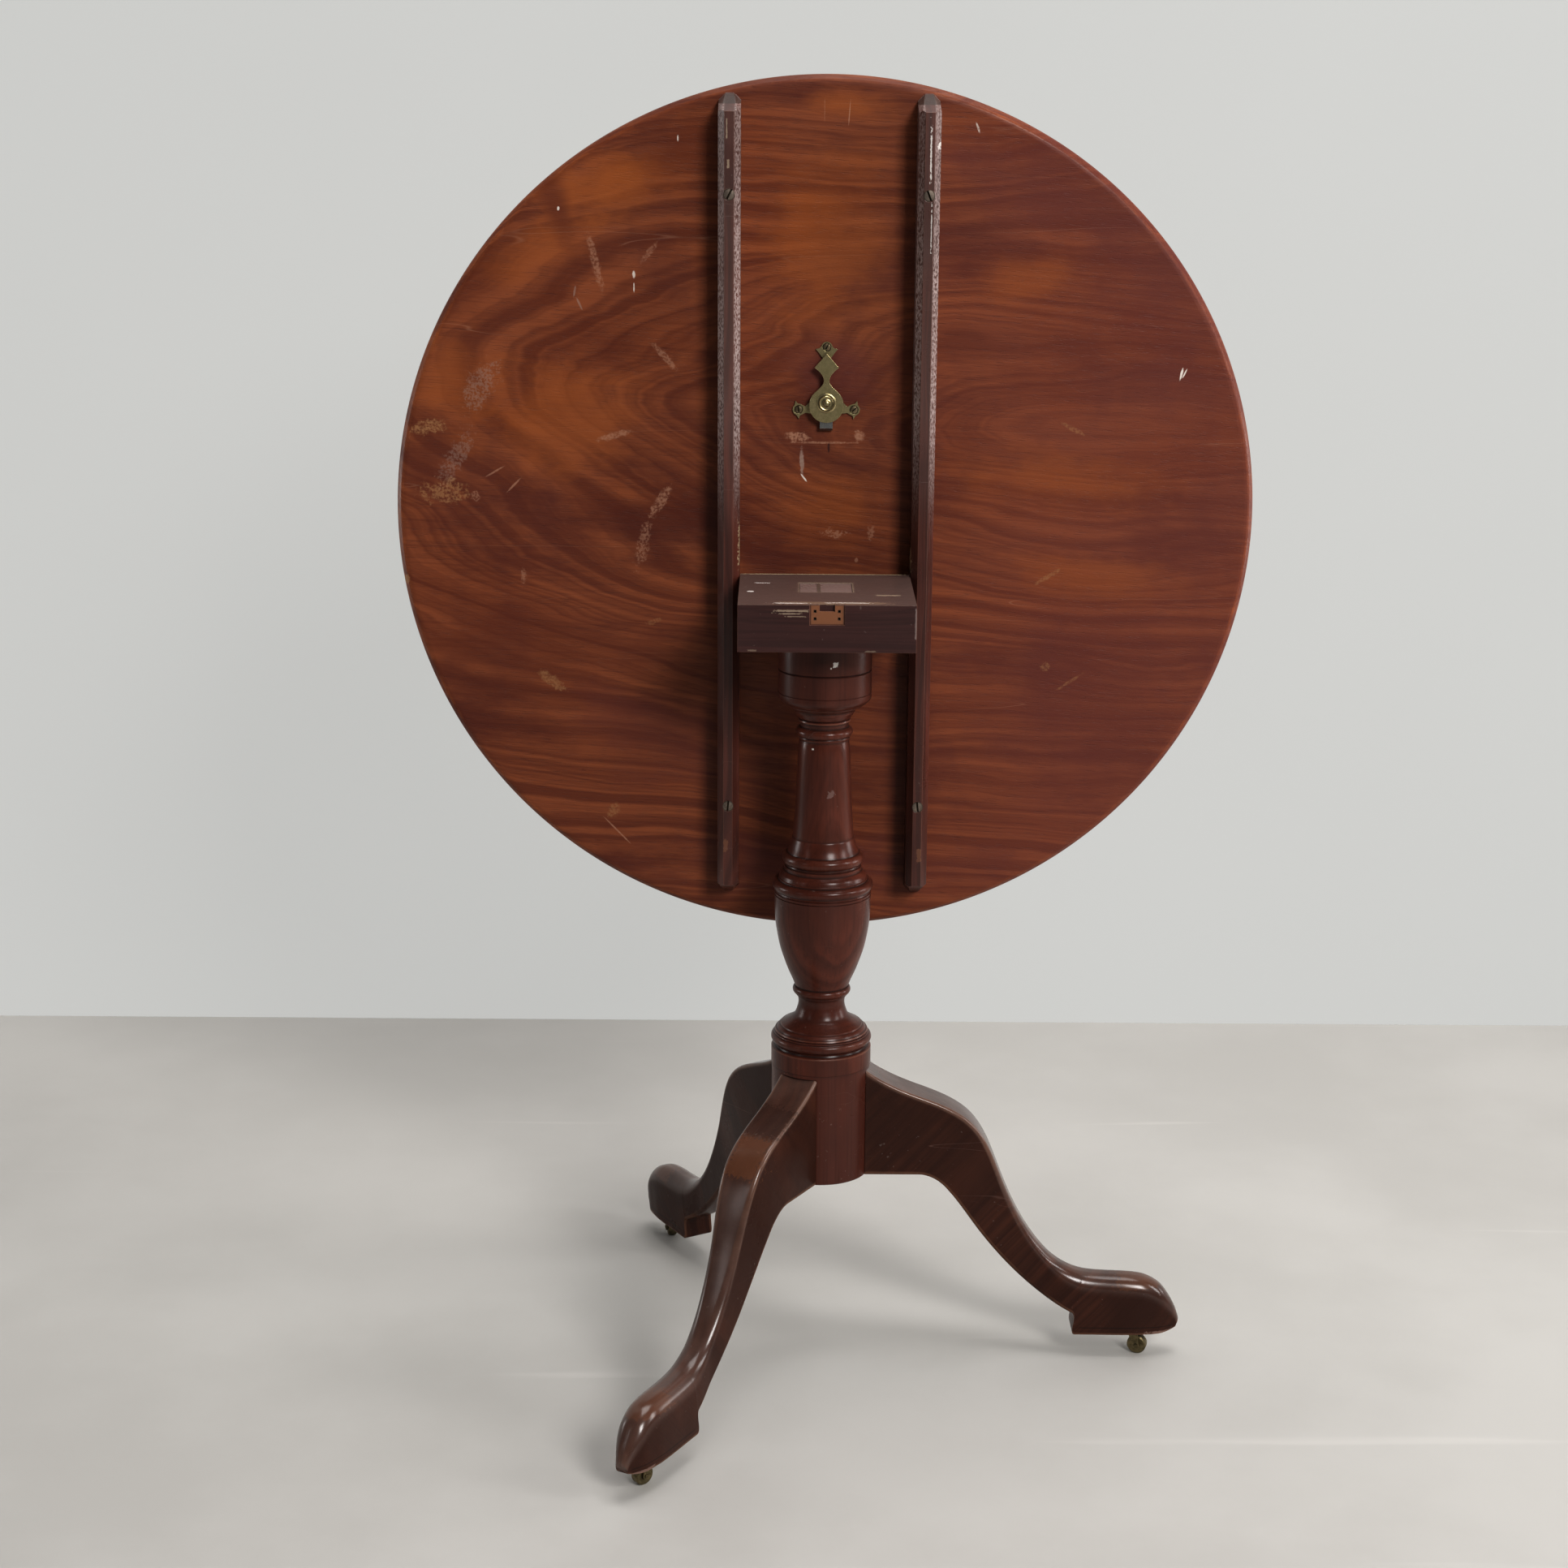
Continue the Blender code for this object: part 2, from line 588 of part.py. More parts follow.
def make_legs():
    shape = leg_shape()
    top = SOLE + PINTLE_LENGTH + 2 * GAP
    change(shape, rod("pintle_room", (CASTOR_OUT, 0, 0), (CASTOR_OUT, 0, top), PINTLE_RADIUS + GAP))
    nail = Vector((ARM_NAIL_OUT, 0, IRON_TOP))
    nail_top = nail + Vector((0, 0, NAIL_LENGTH))
    change(shape, rod("nail_room", nail - Vector((0, 0, SHORT_OVERCUT)), nail_top, NAIL_SHANK + GAP, 8))
    first = None
    for name, angle in LEG_ANGLES.items():
        turn = Matrix.Rotation(math.radians(angle), 4, "Z")
        if first is None:
            first = finished(shape, "leg_" + name, DARK_WOOD, None, 35)
            first.matrix_basis = turn
        else:
            node("leg_" + name, first.data, None, turn)


# ---------------------------------------------------------------- iron plate under the pillar


def nail_place(angle, out):
    """On the upper face of the iron plate, at this angle and distance from the pillar's axis."""
    turn = math.radians(angle)
    return Vector((out * math.cos(turn), out * math.sin(turn), IRON_TOP))


def make_iron_plate():
    low, high = IRON_TOP - IRON_THICKNESS, IRON_TOP
    shape = prism("iron_shape", arc((0, 0), IRON_HUB, 0, 360, ROUND_STEPS)[:-1], low, high)
    half = IRON_ARM_WIDTH / 2
    for angle in LEG_ANGLES.values():
        turn = Matrix.Rotation(math.radians(angle), 4, "Z")
        arm = [(0, -half)] + arc((IRON_ARM_END - half, 0), half, -90, 90, 6) + [(0, half)]
        change(shape, prism("arm", arm, low, high, turn), "UNION")
    for place in nail_places():
        start = place - Vector((0, 0, IRON_THICKNESS + SHORT_OVERCUT))
        change(shape, rod("nail_hole", start, place + Vector((0, 0, SHORT_OVERCUT)), NAIL_SHANK + GAP, 8))
    finished(shape, "iron_plate", IRON)


def nail_places():
    places = [nail_place(angle, ARM_NAIL_OUT) for angle in LEG_ANGLES.values()]
    return places + [nail_place(angle + 60, HUB_NAIL_OUT) for angle in LEG_ANGLES.values()]


def make_nails():
    head_thickness = 0.0012
    for number, place in enumerate(nail_places(), 1):
        face = place.z - IRON_THICKNESS - GAP
        tip = place.z + NAIL_LENGTH - GAP
        profile = [
            (0.0, tip),
            (NAIL_SHANK * 0.3, tip),
            (NAIL_SHANK, tip - 0.004),
            (NAIL_SHANK, face),
            (NAIL_HEAD, face),
            (NAIL_HEAD * 0.75, face - head_thickness),
            (0.0, face - head_thickness * 1.3),
        ]
        helper = turned("nail_shape", profile, 10)
        helper.matrix_basis = Matrix.Translation((place.x, place.y, 0))
        finished(helper, f"iron_plate_nail_{number}", IRON)


# ---------------------------------------------------------------- top and bearers


def bearer_screws():
    """(x, z) of each screw through a bearer into the top."""
    heights = (PIVOT.z + BEARER_UP - UPPER_SCREW_IN, PIVOT.z - BEARER_DOWN + LOWER_SCREW_IN)
    return [(x, z) for x in (-BEARER_X, BEARER_X) for z in heights]


def catch_screws():
    """(name, x, z) of each screw through the catch's plate into the top."""
    ear_z, finial_z = PIVOT.z + EAR_UP, PIVOT.z + FINIAL_UP
    return (("left", -EAR_SPREAD, ear_z), ("right", EAR_SPREAD, ear_z), ("upper", 0.0, finial_z))


def make_top_board(parent):
    """One round board, with its under edge well rounded and its upper edge a little."""
    radius = TOP_DIAMETER / 2
    face = TOP_THICKNESS
    under = arc((radius - UNDER_EDGE_ROUND, UNDER_EDGE_ROUND), UNDER_EDGE_ROUND, 0, -90, 4)
    upper = arc((radius - UPPER_EDGE_ROUND, face - UPPER_EDGE_ROUND), UPPER_EDGE_ROUND, 90, 0, 3)
    shape = turned("top_shape", [(0.0, face)] + upper + under + [(0.0, 0.0)], TOP_STEPS)
    # Turned about +Z and then laid so that its upper face looks to +Y.
    middle = Matrix.Translation((0, UNDERSIDE, PIVOT.z + TOP_CENTRE_UP))
    shape.matrix_basis = middle @ Matrix.Rotation(math.radians(-90), 4, "X")
    for x, z in bearer_screws():
        start, end = (x, UNDERSIDE - SHORT_OVERCUT, z), (x, UNDERSIDE + BIG_SCREW_BITE + GAP, z)
        change(shape, rod("pilot", start, end, BIG_SCREW_SHANK + GAP, 12))
    for _, x, z in catch_screws():
        start, end = (x, UNDERSIDE - SHORT_OVERCUT, z), (x, UNDERSIDE + SMALL_SCREW_BITE + GAP, z)
        change(shape, rod("pilot", start, end, SMALL_SCREW_SHANK + GAP, 12))
    finished(shape, "top_board", TOP_WOOD, parent)


def sliced(shape, point, normal):
    """Cuts away the side of a convex solid that the normal points to."""
    bm = bmesh.new()
    bm.from_mesh(shape.data)
    everything = bm.verts[:] + bm.edges[:] + bm.faces[:]
    cut = bmesh.ops.bisect_plane(bm, geom=everything, plane_co=point, plane_no=normal, clear_outer=True)
    edges = [item for item in cut["geom_cut"] if isinstance(item, bmesh.types.BMEdge)]
    bmesh.ops.contextual_create(bm, geom=edges)
    bmesh.ops.recalc_face_normals(bm, faces=bm.faces)
    bm.to_mesh(shape.data)
    bm.free()


def make_bearer(name, x, parent):
    """A bearer with chamfered outer edges and sloped, pointed ends."""
    half, edge = BEARER_WIDTH / 2, BEARER_CHAMFER
    section = [
        (x - half, BEARER_BACK),
        (x - half, BEARER_FRONT + edge * 1.4),
        (x - half + edge, BEARER_FRONT),
        (x + half - edge, BEARER_FRONT),
        (x + half, BEARER_FRONT + edge * 1.4),
        (x + half, BEARER_BACK),
    ]
    low, high = PIVOT.z - BEARER_DOWN, PIVOT.z + BEARER_UP
    shape = prism(name + "_shape", section, low, high)
    for end, way in ((high, 1), (low, -1)):
        sliced(shape, (x, BEARER_BACK, end), (0, -END_SLOPE, way * BEARER_HEIGHT))
        for side in (-1, 1):
            corner = (x + side * half, BEARER_BACK, end - way * END_POINT)
            sliced(shape, corner, (side, -POINT_SLOPE, way))
    start = (x - BEARER_WIDTH, PIVOT.y, PIVOT.z)
    finish = (x + BEARER_WIDTH, PIVOT.y, PIVOT.z)
    change(shape, rod("pivot_hole", start, finish, PIVOT_PIN_RADIUS + PIVOT_CLEARANCE, ROUND_STEPS))
    reach = BEARER_HEIGHT + BIG_SCREW_BITE
    for screw_x, z in bearer_screws():
        if abs(screw_x - x) < BEARER_WIDTH:
            head_at = (screw_x, BEARER_FRONT, z)
            screw_hole(shape, head_at, (0, 1, 0), BIG_SCREW, reach)
    finished(shape, name, DARK_WOOD, parent)


def make_bearers(parent):
    make_bearer("bearer_left", -BEARER_X, parent)
    make_bearer("bearer_right", BEARER_X, parent)
    reach = BEARER_HEIGHT + BIG_SCREW_BITE - GAP
    for number, (x, z) in enumerate(bearer_screws(), 1):
        head_at = (x, BEARER_FRONT, z)
        woodscrew(f"bearer_screw_{number}", head_at, (0, 1, 0), BIG_SCREW, reach, parent)


# ---------------------------------------------------------------- catch


def mirrored(side):
    """An outline from its right half, given from bottom to top, going round anticlockwise."""
    return side + [(-x, z) for x, z in reversed(side) if abs(x) > 1e-6]


def make_catch_plate(parent):
    """The brass plate: a round middle, an ear on each side and a finial above, each with a screw."""
    side = arc((0, LEVER_CENTRE_UP), PLATE_RADIUS, -90, -38, 5)
    below = [(-EAR_RADIUS - 0.0006, -0.0028), (-0.0030, -0.0044), (-0.0010, -0.0054), (-0.0004, -0.0082)]
    side += [(EAR_SPREAD + out, EAR_UP + rise) for out, rise in below]
    side += arc((EAR_SPREAD, EAR_UP), EAR_RADIUS, -72, 50, 5)
    above = [(0.0027, 0.0076), (0.0010, 0.0053), (-0.0018, 0.0047), (-EAR_RADIUS - 0.0006, 0.0026)]
    side += [(EAR_SPREAD + out, EAR_UP + rise) for out, rise in above]
    side += arc((0, LEVER_CENTRE_UP), PLATE_RADIUS, 20, 55, 3)
    stem = LEVER_CENTRE_UP + PLATE_RADIUS + 0.0045
    side += [(STEM_HALF, stem), (STEM_HALF, FINIAL_UP - 0.0110)]
    wing = [(0.0050, -0.0075), (0.0070, -0.0046), (0.0096, -0.0016), (0.0064, -0.0010)]
    side += [(out, FINIAL_UP + rise) for out, rise in wing]
    side += arc((0, FINIAL_UP), FINIAL_RADIUS, 10, 90, 4)
    shape = sheet("catch_plate_shape", mirrored(side), UNDERSIDE - GAP, PLATE_FRONT)
    stop_low = upright(-SPRING_HALF, SPRING_TOP_UP + GAP, BOLT_FRONT)
    stop_high = upright(SPRING_HALF, SPRING_TOP_UP + STOP_HEIGHT, PLATE_FRONT + GAP)
    change(shape, box("spring_stop", stop_low, stop_high), "UNION")
    stud = upright(0, STUD_UP)
    stud_room = STUD_RADIUS + GAP
    change(shape, rod("stud_hole", stud, stud + Vector((0, CUT_THROUGH, 0)), stud_room, FINE_STEPS))
    for _, x, z in catch_screws():
        screw_hole(shape, (x, PLATE_FRONT, z), (0, 1, 0), SMALL_SCREW, SMALL_SCREW_BITE)
    finished(shape, "catch_plate", BRASS, parent)
    reach = PLATE_THICKNESS + SMALL_SCREW_BITE
    for name, x, z in catch_screws():
        head_at = (x, PLATE_FRONT, z)
        woodscrew(f"catch_screw_{name}", head_at, (0, 1, 0), SMALL_SCREW, reach, parent)


def make_catch_stud(parent):
    """The stud that the lever turns on, with its stepped crown and knob outside the lever."""
    face = LEVER_FRONT - GAP
    profile = [
        (0.0, -face + 0.0062),
        (KNOB_RADIUS * 0.6, -face + 0.0058),
        (KNOB_RADIUS, -face + 0.0045),
        (KNOB_RADIUS * 0.8, -face + 0.0028),
        (CROWN_RADIUS * 0.72, -face + 0.0022),
        (CROWN_RADIUS * 0.76, -face + 0.0012),
        (CROWN_RADIUS, -face + 0.0008),
        (CROWN_RADIUS, -face),
        (STUD_RADIUS, -face),
        (STUD_RADIUS, -UNDERSIDE + GAP),
        (0.0, -UNDERSIDE + GAP),
    ]
    helper = turned("catch_stud_shape", profile, 20)
    helper.matrix_basis = Matrix.Translation(upright(0, STUD_UP)) @ UNDERSIDE_TURN
    finished(helper, "catch_stud", BRASS, parent)


def make_catch_lever(parent):
    """The drop-shaped lever: a round body, a waist and a diamond thumb piece, with its drive pin behind."""
    tip = LEVER_TIP_UP
    diamond = tip - 0.0120
    side = arc((0, LEVER_CENTRE_UP), LEVER_RADIUS, -90, 28, 10)
    neck = [(0.0118, 0.0093), (0.0094, 0.0118), (0.0068, 0.0142), (0.0044, 0.0166), (0.0029, 0.0188)]
    neck += [(0.0024, 0.0210), (0.0028, 0.0236), (0.0042, 0.0264), (0.0068, 0.0294)]
    side += [(out, LEVER_CENTRE_UP + rise) for out, rise in neck]
    side += [(DIAMOND_HALF, diamond), (0.0, tip)]
    shape = sheet("catch_lever_shape", mirrored(side), LEVER_BACK, LEVER_FRONT)
    stud = upright(0, STUD_UP)
    change(shape, rod("stud_hole", stud, stud + Vector((0, CUT_THROUGH, 0)), STUD_RADIUS + GAP, FINE_STEPS))
    pin = upright(DRIVE_PIN_OUT, STUD_UP, BOLT_BACK - GAP)
    pin_end = Vector((pin.x, LEVER_BACK - LEVER_THICKNESS / 2, pin.z))
    change(shape, rod("drive_pin", pin, pin_end, DRIVE_PIN_RADIUS, 12), "UNION")
    finished(shape, "catch_lever", BRASS, parent)


def make_catch_bolt(parent):
    """The sliding bolt: a stem with a sloped end, and a head slotted for the stud and for the drive pin."""
    half = BOLT_WIDTH / 2
    shoulder, head = STUD_UP - BOLT_HEAD_LOW, STUD_UP + BOLT_HEAD_HIGH
    side = [(half, BOLT_TIP_UP), (half, shoulder), (BOLT_HEAD_HALF, shoulder), (BOLT_HEAD_HALF, head)]
    outline = side + [(-x, z) for x, z in reversed(side)]
    shape = sheet("catch_bolt_shape", outline, BOLT_BACK, BOLT_FRONT)
    slope = BOLT_THICKNESS * 0.6
    tip = upright(0, BOLT_TIP_UP, BOLT_FRONT)
    sliced(shape, tip + Vector((0, 0, slope)), (0, -1, -1))
    slot_half = STUD_RADIUS + GAP
    slot_low = upright(-slot_half, STUD_UP - slot_half - BOLT_TRAVEL, BOLT_FRONT - OVERCUT)
    slot_high = upright(slot_half, STUD_UP + slot_half, BOLT_BACK + OVERCUT)
    change(shape, box("stud_slot", slot_low, slot_high))
    pin_room = DRIVE_PIN_RADIUS + 2 * GAP
    sweep = DRIVE_PIN_OUT * (1 - math.cos(math.radians(LEVER_SWING)))
    pin_low = upright(DRIVE_PIN_OUT - sweep - pin_room, STUD_UP - pin_room, BOLT_FRONT - OVERCUT)
    pin_high = upright(DRIVE_PIN_OUT + pin_room, STUD_UP + pin_room, BOLT_BACK + OVERCUT)
    change(shape, box("pin_slot", pin_low, pin_high))
    finished(shape, "catch_bolt", IRON, parent)


def make_catch_spring(parent):
    """A leaf bent to a V, between the plate's stop and the bolt's head."""
    low = STUD_UP + BOLT_HEAD_HIGH + GAP
    top = SPRING_TOP_UP
    outline = [
        (0.0, low),
        (SPRING_HALF, top - SPRING_LEAF),
        (SPRING_HALF, top),
        (SPRING_HALF - SPRING_LEAF, top),
        (0.0, low + 2 * SPRING_LEAF),
        (-SPRING_HALF + SPRING_LEAF, top),
        (-SPRING_HALF, top),
        (-SPRING_HALF, top - SPRING_LEAF),
    ]
    shape = sheet("catch_spring_shape", outline, BOLT_BACK - GAP, BOLT_FRONT + GAP)
    finished(shape, "catch_spring", IRON, parent)


# ---------------------------------------------------------------- castors


def make_castor(name, angle):
    """A castor under the foot: its plate on the sole, a swivelling fork, an axle and a wheel."""
    turn = Matrix.Rotation(math.radians(angle), 4, "Z")
    trail = Matrix.Rotation(math.radians(CASTOR_TURN), 4, "Z")
    swivel = turn @ Matrix.Translation((CASTOR_OUT, 0, 0)) @ trail
    fork_axis = axis_empty(f"castor_{name}_swivel_axis", swivel)
    plate_top = SOLE - GAP
    plate_low = plate_top - CASTOR_PLATE
    plate = rod("plate_shape", (0, 0, plate_low), (0, 0, plate_top), CASTOR_PLATE_RADIUS, 24)
    change(plate, rod("plate_hole", (0, 0, 0), (0, 0, CUT_THROUGH), PINTLE_RADIUS + GAP))
    plate.matrix_basis = Matrix.Identity(4)
    set_down(plate, f"castor_{name}_plate", swivel, None)

    crown_top = plate_low - GAP
    crown_low = crown_top - FORK_CROWN
    cheek_gap = WHEEL_WIDTH / 2 + GAP
    outer = cheek_gap + FORK_CHEEK
    fork = rod("fork_shape", (0, 0, crown_low), (0, 0, SOLE + PINTLE_LENGTH), PINTLE_RADIUS)
    crown = box("crown", (-CROWN_BACK, -outer, crown_low), (CASTOR_TRAIL, outer, crown_top))
    change(fork, crown, "UNION")
    bar = FORK_BAR
    for side in (-1, 1):
        near, far = sorted((side * cheek_gap, side * outer))
        cheek = [(CASTOR_TRAIL - bar * 2, crown_top - 0.0005), (CASTOR_TRAIL - bar, WHEEL_RADIUS)]
        cheek += arc((CASTOR_TRAIL, WHEEL_RADIUS), bar, 180, 360, 8)
        cheek += [(CASTOR_TRAIL + bar * 0.4, crown_top - 0.0005)]
        stand = Matrix(((1, 0, 0, 0), (0, 0, 1, 0), (0, 1, 0, 0), (0, 0, 0, 1)))
        change(fork, prism("cheek", cheek, near, far, stand), "UNION")
    axle_room = AXLE_RADIUS + GAP
    axle_at = Vector((CASTOR_TRAIL, 0, WHEEL_RADIUS))
    across = Vector((0, outer + 0.002, 0))
    change(fork, rod("axle_hole", axle_at - across, axle_at + across, axle_room, 12))
    set_down(fork, f"castor_{name}_fork", swivel, fork_axis)

    reach = Vector((0, outer + 0.0006, 0))
    axle = rod("axle_shape", axle_at - reach, axle_at + reach, AXLE_RADIUS, 12)
    set_down(axle, f"castor_{name}_axle", swivel, fork_axis)

    half = WHEEL_WIDTH / 2
    rim = 0.0012
    profile = [(axle_room, half), (WHEEL_RADIUS - rim, half), (WHEEL_RADIUS, half - rim)]
    profile += [(WHEEL_RADIUS, rim - half), (WHEEL_RADIUS - rim, -half)]
    profile += [(axle_room, -half), (axle_room, half)]
    wheel = turned("wheel_shape", profile, 28)
    wheel.matrix_basis = Matrix.Translation(axle_at) @ Matrix.Rotation(math.radians(90), 4, "X")
    wheel_axis = axis_empty(f"castor_{name}_wheel_axis", swivel @ Matrix.Translation(axle_at))
    set_down(wheel, f"castor_{name}_wheel", swivel, wheel_axis)


def set_down(helper, name, swivel, parent):
    """A castor piece, made about the swivel axis, in its place under the foot."""
    made = finished(helper, name, BRASS, parent)
    made.data.transform(swivel)
    return made


# ---------------------------------------------------------------- the table

clear_scene()
PARTS = collection("tilt_top_table")
HELPERS = collection("cutters_and_shapes", hidden=True)
DARK_WOOD = material("dark_mahogany", (0.060, 0.018, 0.012), 0.28)
TOP_WOOD = material("top_mahogany", (0.170, 0.040, 0.018), 0.38)
BRASS = material("aged_brass", (0.330, 0.270, 0.120), 0.38, 1.0)
IRON = material("worn_iron", (0.200, 0.190, 0.180), 0.50, 1.0)

make_pillar()
make_wedge()
make_block()
make_legs()
make_iron_plate()
make_nails()
tilt_axis = axis_empty("tilt_axis", Matrix.Translation(PIVOT))
make_top_board(tilt_axis)
make_bearers(tilt_axis)
make_catch_plate(tilt_axis)
make_catch_stud(tilt_axis)
lever_axis = axis_empty("catch_lever_axis", Matrix.Translation(upright(0, STUD_UP, LEVER_BACK)))
make_catch_lever(lever_axis)
make_catch_bolt(tilt_axis)
make_catch_spring(tilt_axis)
for castor_name, castor_angle in LEG_ANGLES.items():
    make_castor(castor_name, castor_angle)
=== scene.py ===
# %% [markdown]
# # A tilt-top table, dressed for its portrait
# The table is a round mahogany board hinged on the block of a turned pillar, on three scrolled legs with
# castors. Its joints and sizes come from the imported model. Here each piece gets its fine shape and its
# finish. Lengths are in metres and angles in degrees unless a name says otherwise.

import math

import bmesh
import bpy
import numpy as np
from mathutils import Matrix, Vector


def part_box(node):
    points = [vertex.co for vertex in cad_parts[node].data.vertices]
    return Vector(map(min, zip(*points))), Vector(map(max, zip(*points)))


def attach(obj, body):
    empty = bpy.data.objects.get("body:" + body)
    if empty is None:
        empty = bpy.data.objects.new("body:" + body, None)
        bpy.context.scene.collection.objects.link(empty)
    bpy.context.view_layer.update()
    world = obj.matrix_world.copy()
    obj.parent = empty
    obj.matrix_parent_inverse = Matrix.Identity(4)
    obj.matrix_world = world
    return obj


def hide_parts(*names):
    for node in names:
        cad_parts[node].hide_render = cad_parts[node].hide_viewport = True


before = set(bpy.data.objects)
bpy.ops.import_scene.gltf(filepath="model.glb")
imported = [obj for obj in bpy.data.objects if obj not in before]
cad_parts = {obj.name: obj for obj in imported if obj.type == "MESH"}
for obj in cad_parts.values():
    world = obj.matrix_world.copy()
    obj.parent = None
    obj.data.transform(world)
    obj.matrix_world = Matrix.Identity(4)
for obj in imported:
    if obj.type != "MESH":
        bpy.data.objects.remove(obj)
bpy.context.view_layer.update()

# %% [markdown]
# The camera comes first, because everything is judged through it. It stands a little over two metres in
# front of the table at the height of the upright top's rim, and looks down, which lets the floor rise
# behind the feet.

# %% Camera
CAMERA_PLACE = (-0.0386, -2.3164, 1.1307)
LOOK_DOWN = 14.4677
LOOK_RIGHT = 0.102
CAMERA_ROLL = 0.404
LENS_MM = 63.35
SENSOR_MM = 36.0
FILM_GAMMA = 0.8


def make_camera():
    """A camera that looks along +Y, turned right, then tipped down, then rolled about its own line of
    sight."""
    data = bpy.data.cameras.new("portrait_camera")
    data.lens = LENS_MM
    data.sensor_width = SENSOR_MM
    made = bpy.data.objects.new("portrait_camera", data)
    turn = Matrix.Rotation(math.radians(-LOOK_RIGHT), 4, "Z")
    tip = Matrix.Rotation(math.radians(90 - LOOK_DOWN), 4, "X")
    roll = Matrix.Rotation(math.radians(CAMERA_ROLL), 4, "Z")
    made.matrix_world = Matrix.Translation(CAMERA_PLACE) @ turn @ tip @ roll
    bpy.context.scene.collection.objects.link(made)
    bpy.context.scene.camera = made
    return made


bpy.context.scene.view_settings.view_transform = "Standard"
bpy.context.scene.view_settings.gamma = FILM_GAMMA
camera = make_camera()
print("camera at", CAMERA_PLACE, "with a", LENS_MM, "mm lens")

# %% [markdown]
# Shader trees are built by code that reads from left to right: a helper adds a node and feeds its inputs,
# each from a value or from another node's output. Small helpers for arithmetic, blends and ramps keep
# materials short.


# %% Node helpers
def put(tree, kind, feeds=None, **settings):
    """Adds a node, sets its properties, and feeds each named or numbered input from a value or a socket."""
    made = tree.nodes.new(kind)
    for name, value in settings.items():
        setattr(made, name, value)
    for place, value in (feeds or {}).items():
        if isinstance(value, bpy.types.NodeSocket):
            tree.links.new(value, made.inputs[place])
        else:
            made.inputs[place].default_value = value
    return made


def apart(tree, vector):
    """The X, Y and Z of a vector."""
    return put(tree, "ShaderNodeSeparateXYZ", {0: vector}).outputs


def sums(tree, operation, first, second=0.0, third=0.0):
    """The result of a Math node."""
    feeds = {0: first, 1: second, 2: third}
    return put(tree, "ShaderNodeMath", feeds, operation=operation).outputs[0]


def times(tree, first, second):
    """The product of two values."""
    return sums(tree, "MULTIPLY", first, second)


def blend(tree, amount, low, high):
    """A colour between two colours."""
    feeds = {0: amount, 6: low, 7: high}
    return put(tree, "ShaderNodeMix", feeds, data_type="RGBA").outputs[2]


def ramp(tree, value, start, finish, low=0.0, high=1.0):
    """A smooth step that rises from low to high as value goes from start to finish."""
    feeds = {0: value, 1: start, 2: finish, 3: low, 4: high}
    return put(tree, "ShaderNodeMapRange", feeds, interpolation_type="SMOOTHSTEP").outputs[0]


def stretched(tree, vector, scale, turn=(0.0, 0.0, 0.0)):
    """Coordinates scaled and then turned by a Mapping node."""
    feeds = {0: vector, 2: turn, 3: scale}
    return put(tree, "ShaderNodeMapping", feeds).outputs[0]


def noise(tree, vector, scale=1.0, detail=3.0, roughness=0.55):
    """Cloudy noise between 0 and 1."""
    feeds = {"Vector": vector, "Scale": scale, "Detail": detail, "Roughness": roughness}
    return put(tree, "ShaderNodeTexNoise", feeds).outputs[0]


def group(name, inputs, outputs):
    """An empty node group with these named sockets: (tree, its input sockets by name, its output node)."""
    kinds = {"vector": "NodeSocketVector", "value": "NodeSocketFloat", "colour": "NodeSocketColor"}
    tree = bpy.data.node_groups.new(name, "ShaderNodeTree")
    for socket, kind in inputs.items():
        tree.interface.new_socket(socket, in_out="INPUT", socket_type=kinds[kind])
    for socket, kind in outputs.items():
        tree.interface.new_socket(socket, in_out="OUTPUT", socket_type=kinds[kind])
    start = tree.nodes.new("NodeGroupInput")
    finish = tree.nodes.new("NodeGroupOutput")
    return tree, {socket: start.outputs[socket] for socket in inputs}, finish


def use(tree, made_group, feeds):
    """Places a group in a tree, with its own values, and returns its outputs."""
    return put(tree, "ShaderNodeGroup", feeds, node_tree=made_group).outputs


def give(tree, finish, **values):
    """Links sockets to the outputs of a group."""
    for name, socket in values.items():
        tree.links.new(socket, finish.inputs[name])


print("node helpers ready")

# %% [markdown]
# Wood is a solid, so its figure is worked out in space: growth rings are shells round the tree's pith.
# Where the pith runs into a board at a slant, the shells show as nested arches that open towards it, and
# farther away as long streaks. Rings have no even width, so a one-way noise of the distance stands for
# good and poor years. The grain always runs along the local X of the coordinates that come in.


# %% Wood figure group
PITH_EASE = 0.0006  # in square metres: how softly the shells level out as the pith dips under the face
QUICK_SHARE = 0.16
MEAN_WANDER = 0.58
FIBRE_STRETCH = (9.0, 420.0, 420.0)
PORE_STRETCH = (80.0, 1300.0, 1300.0)


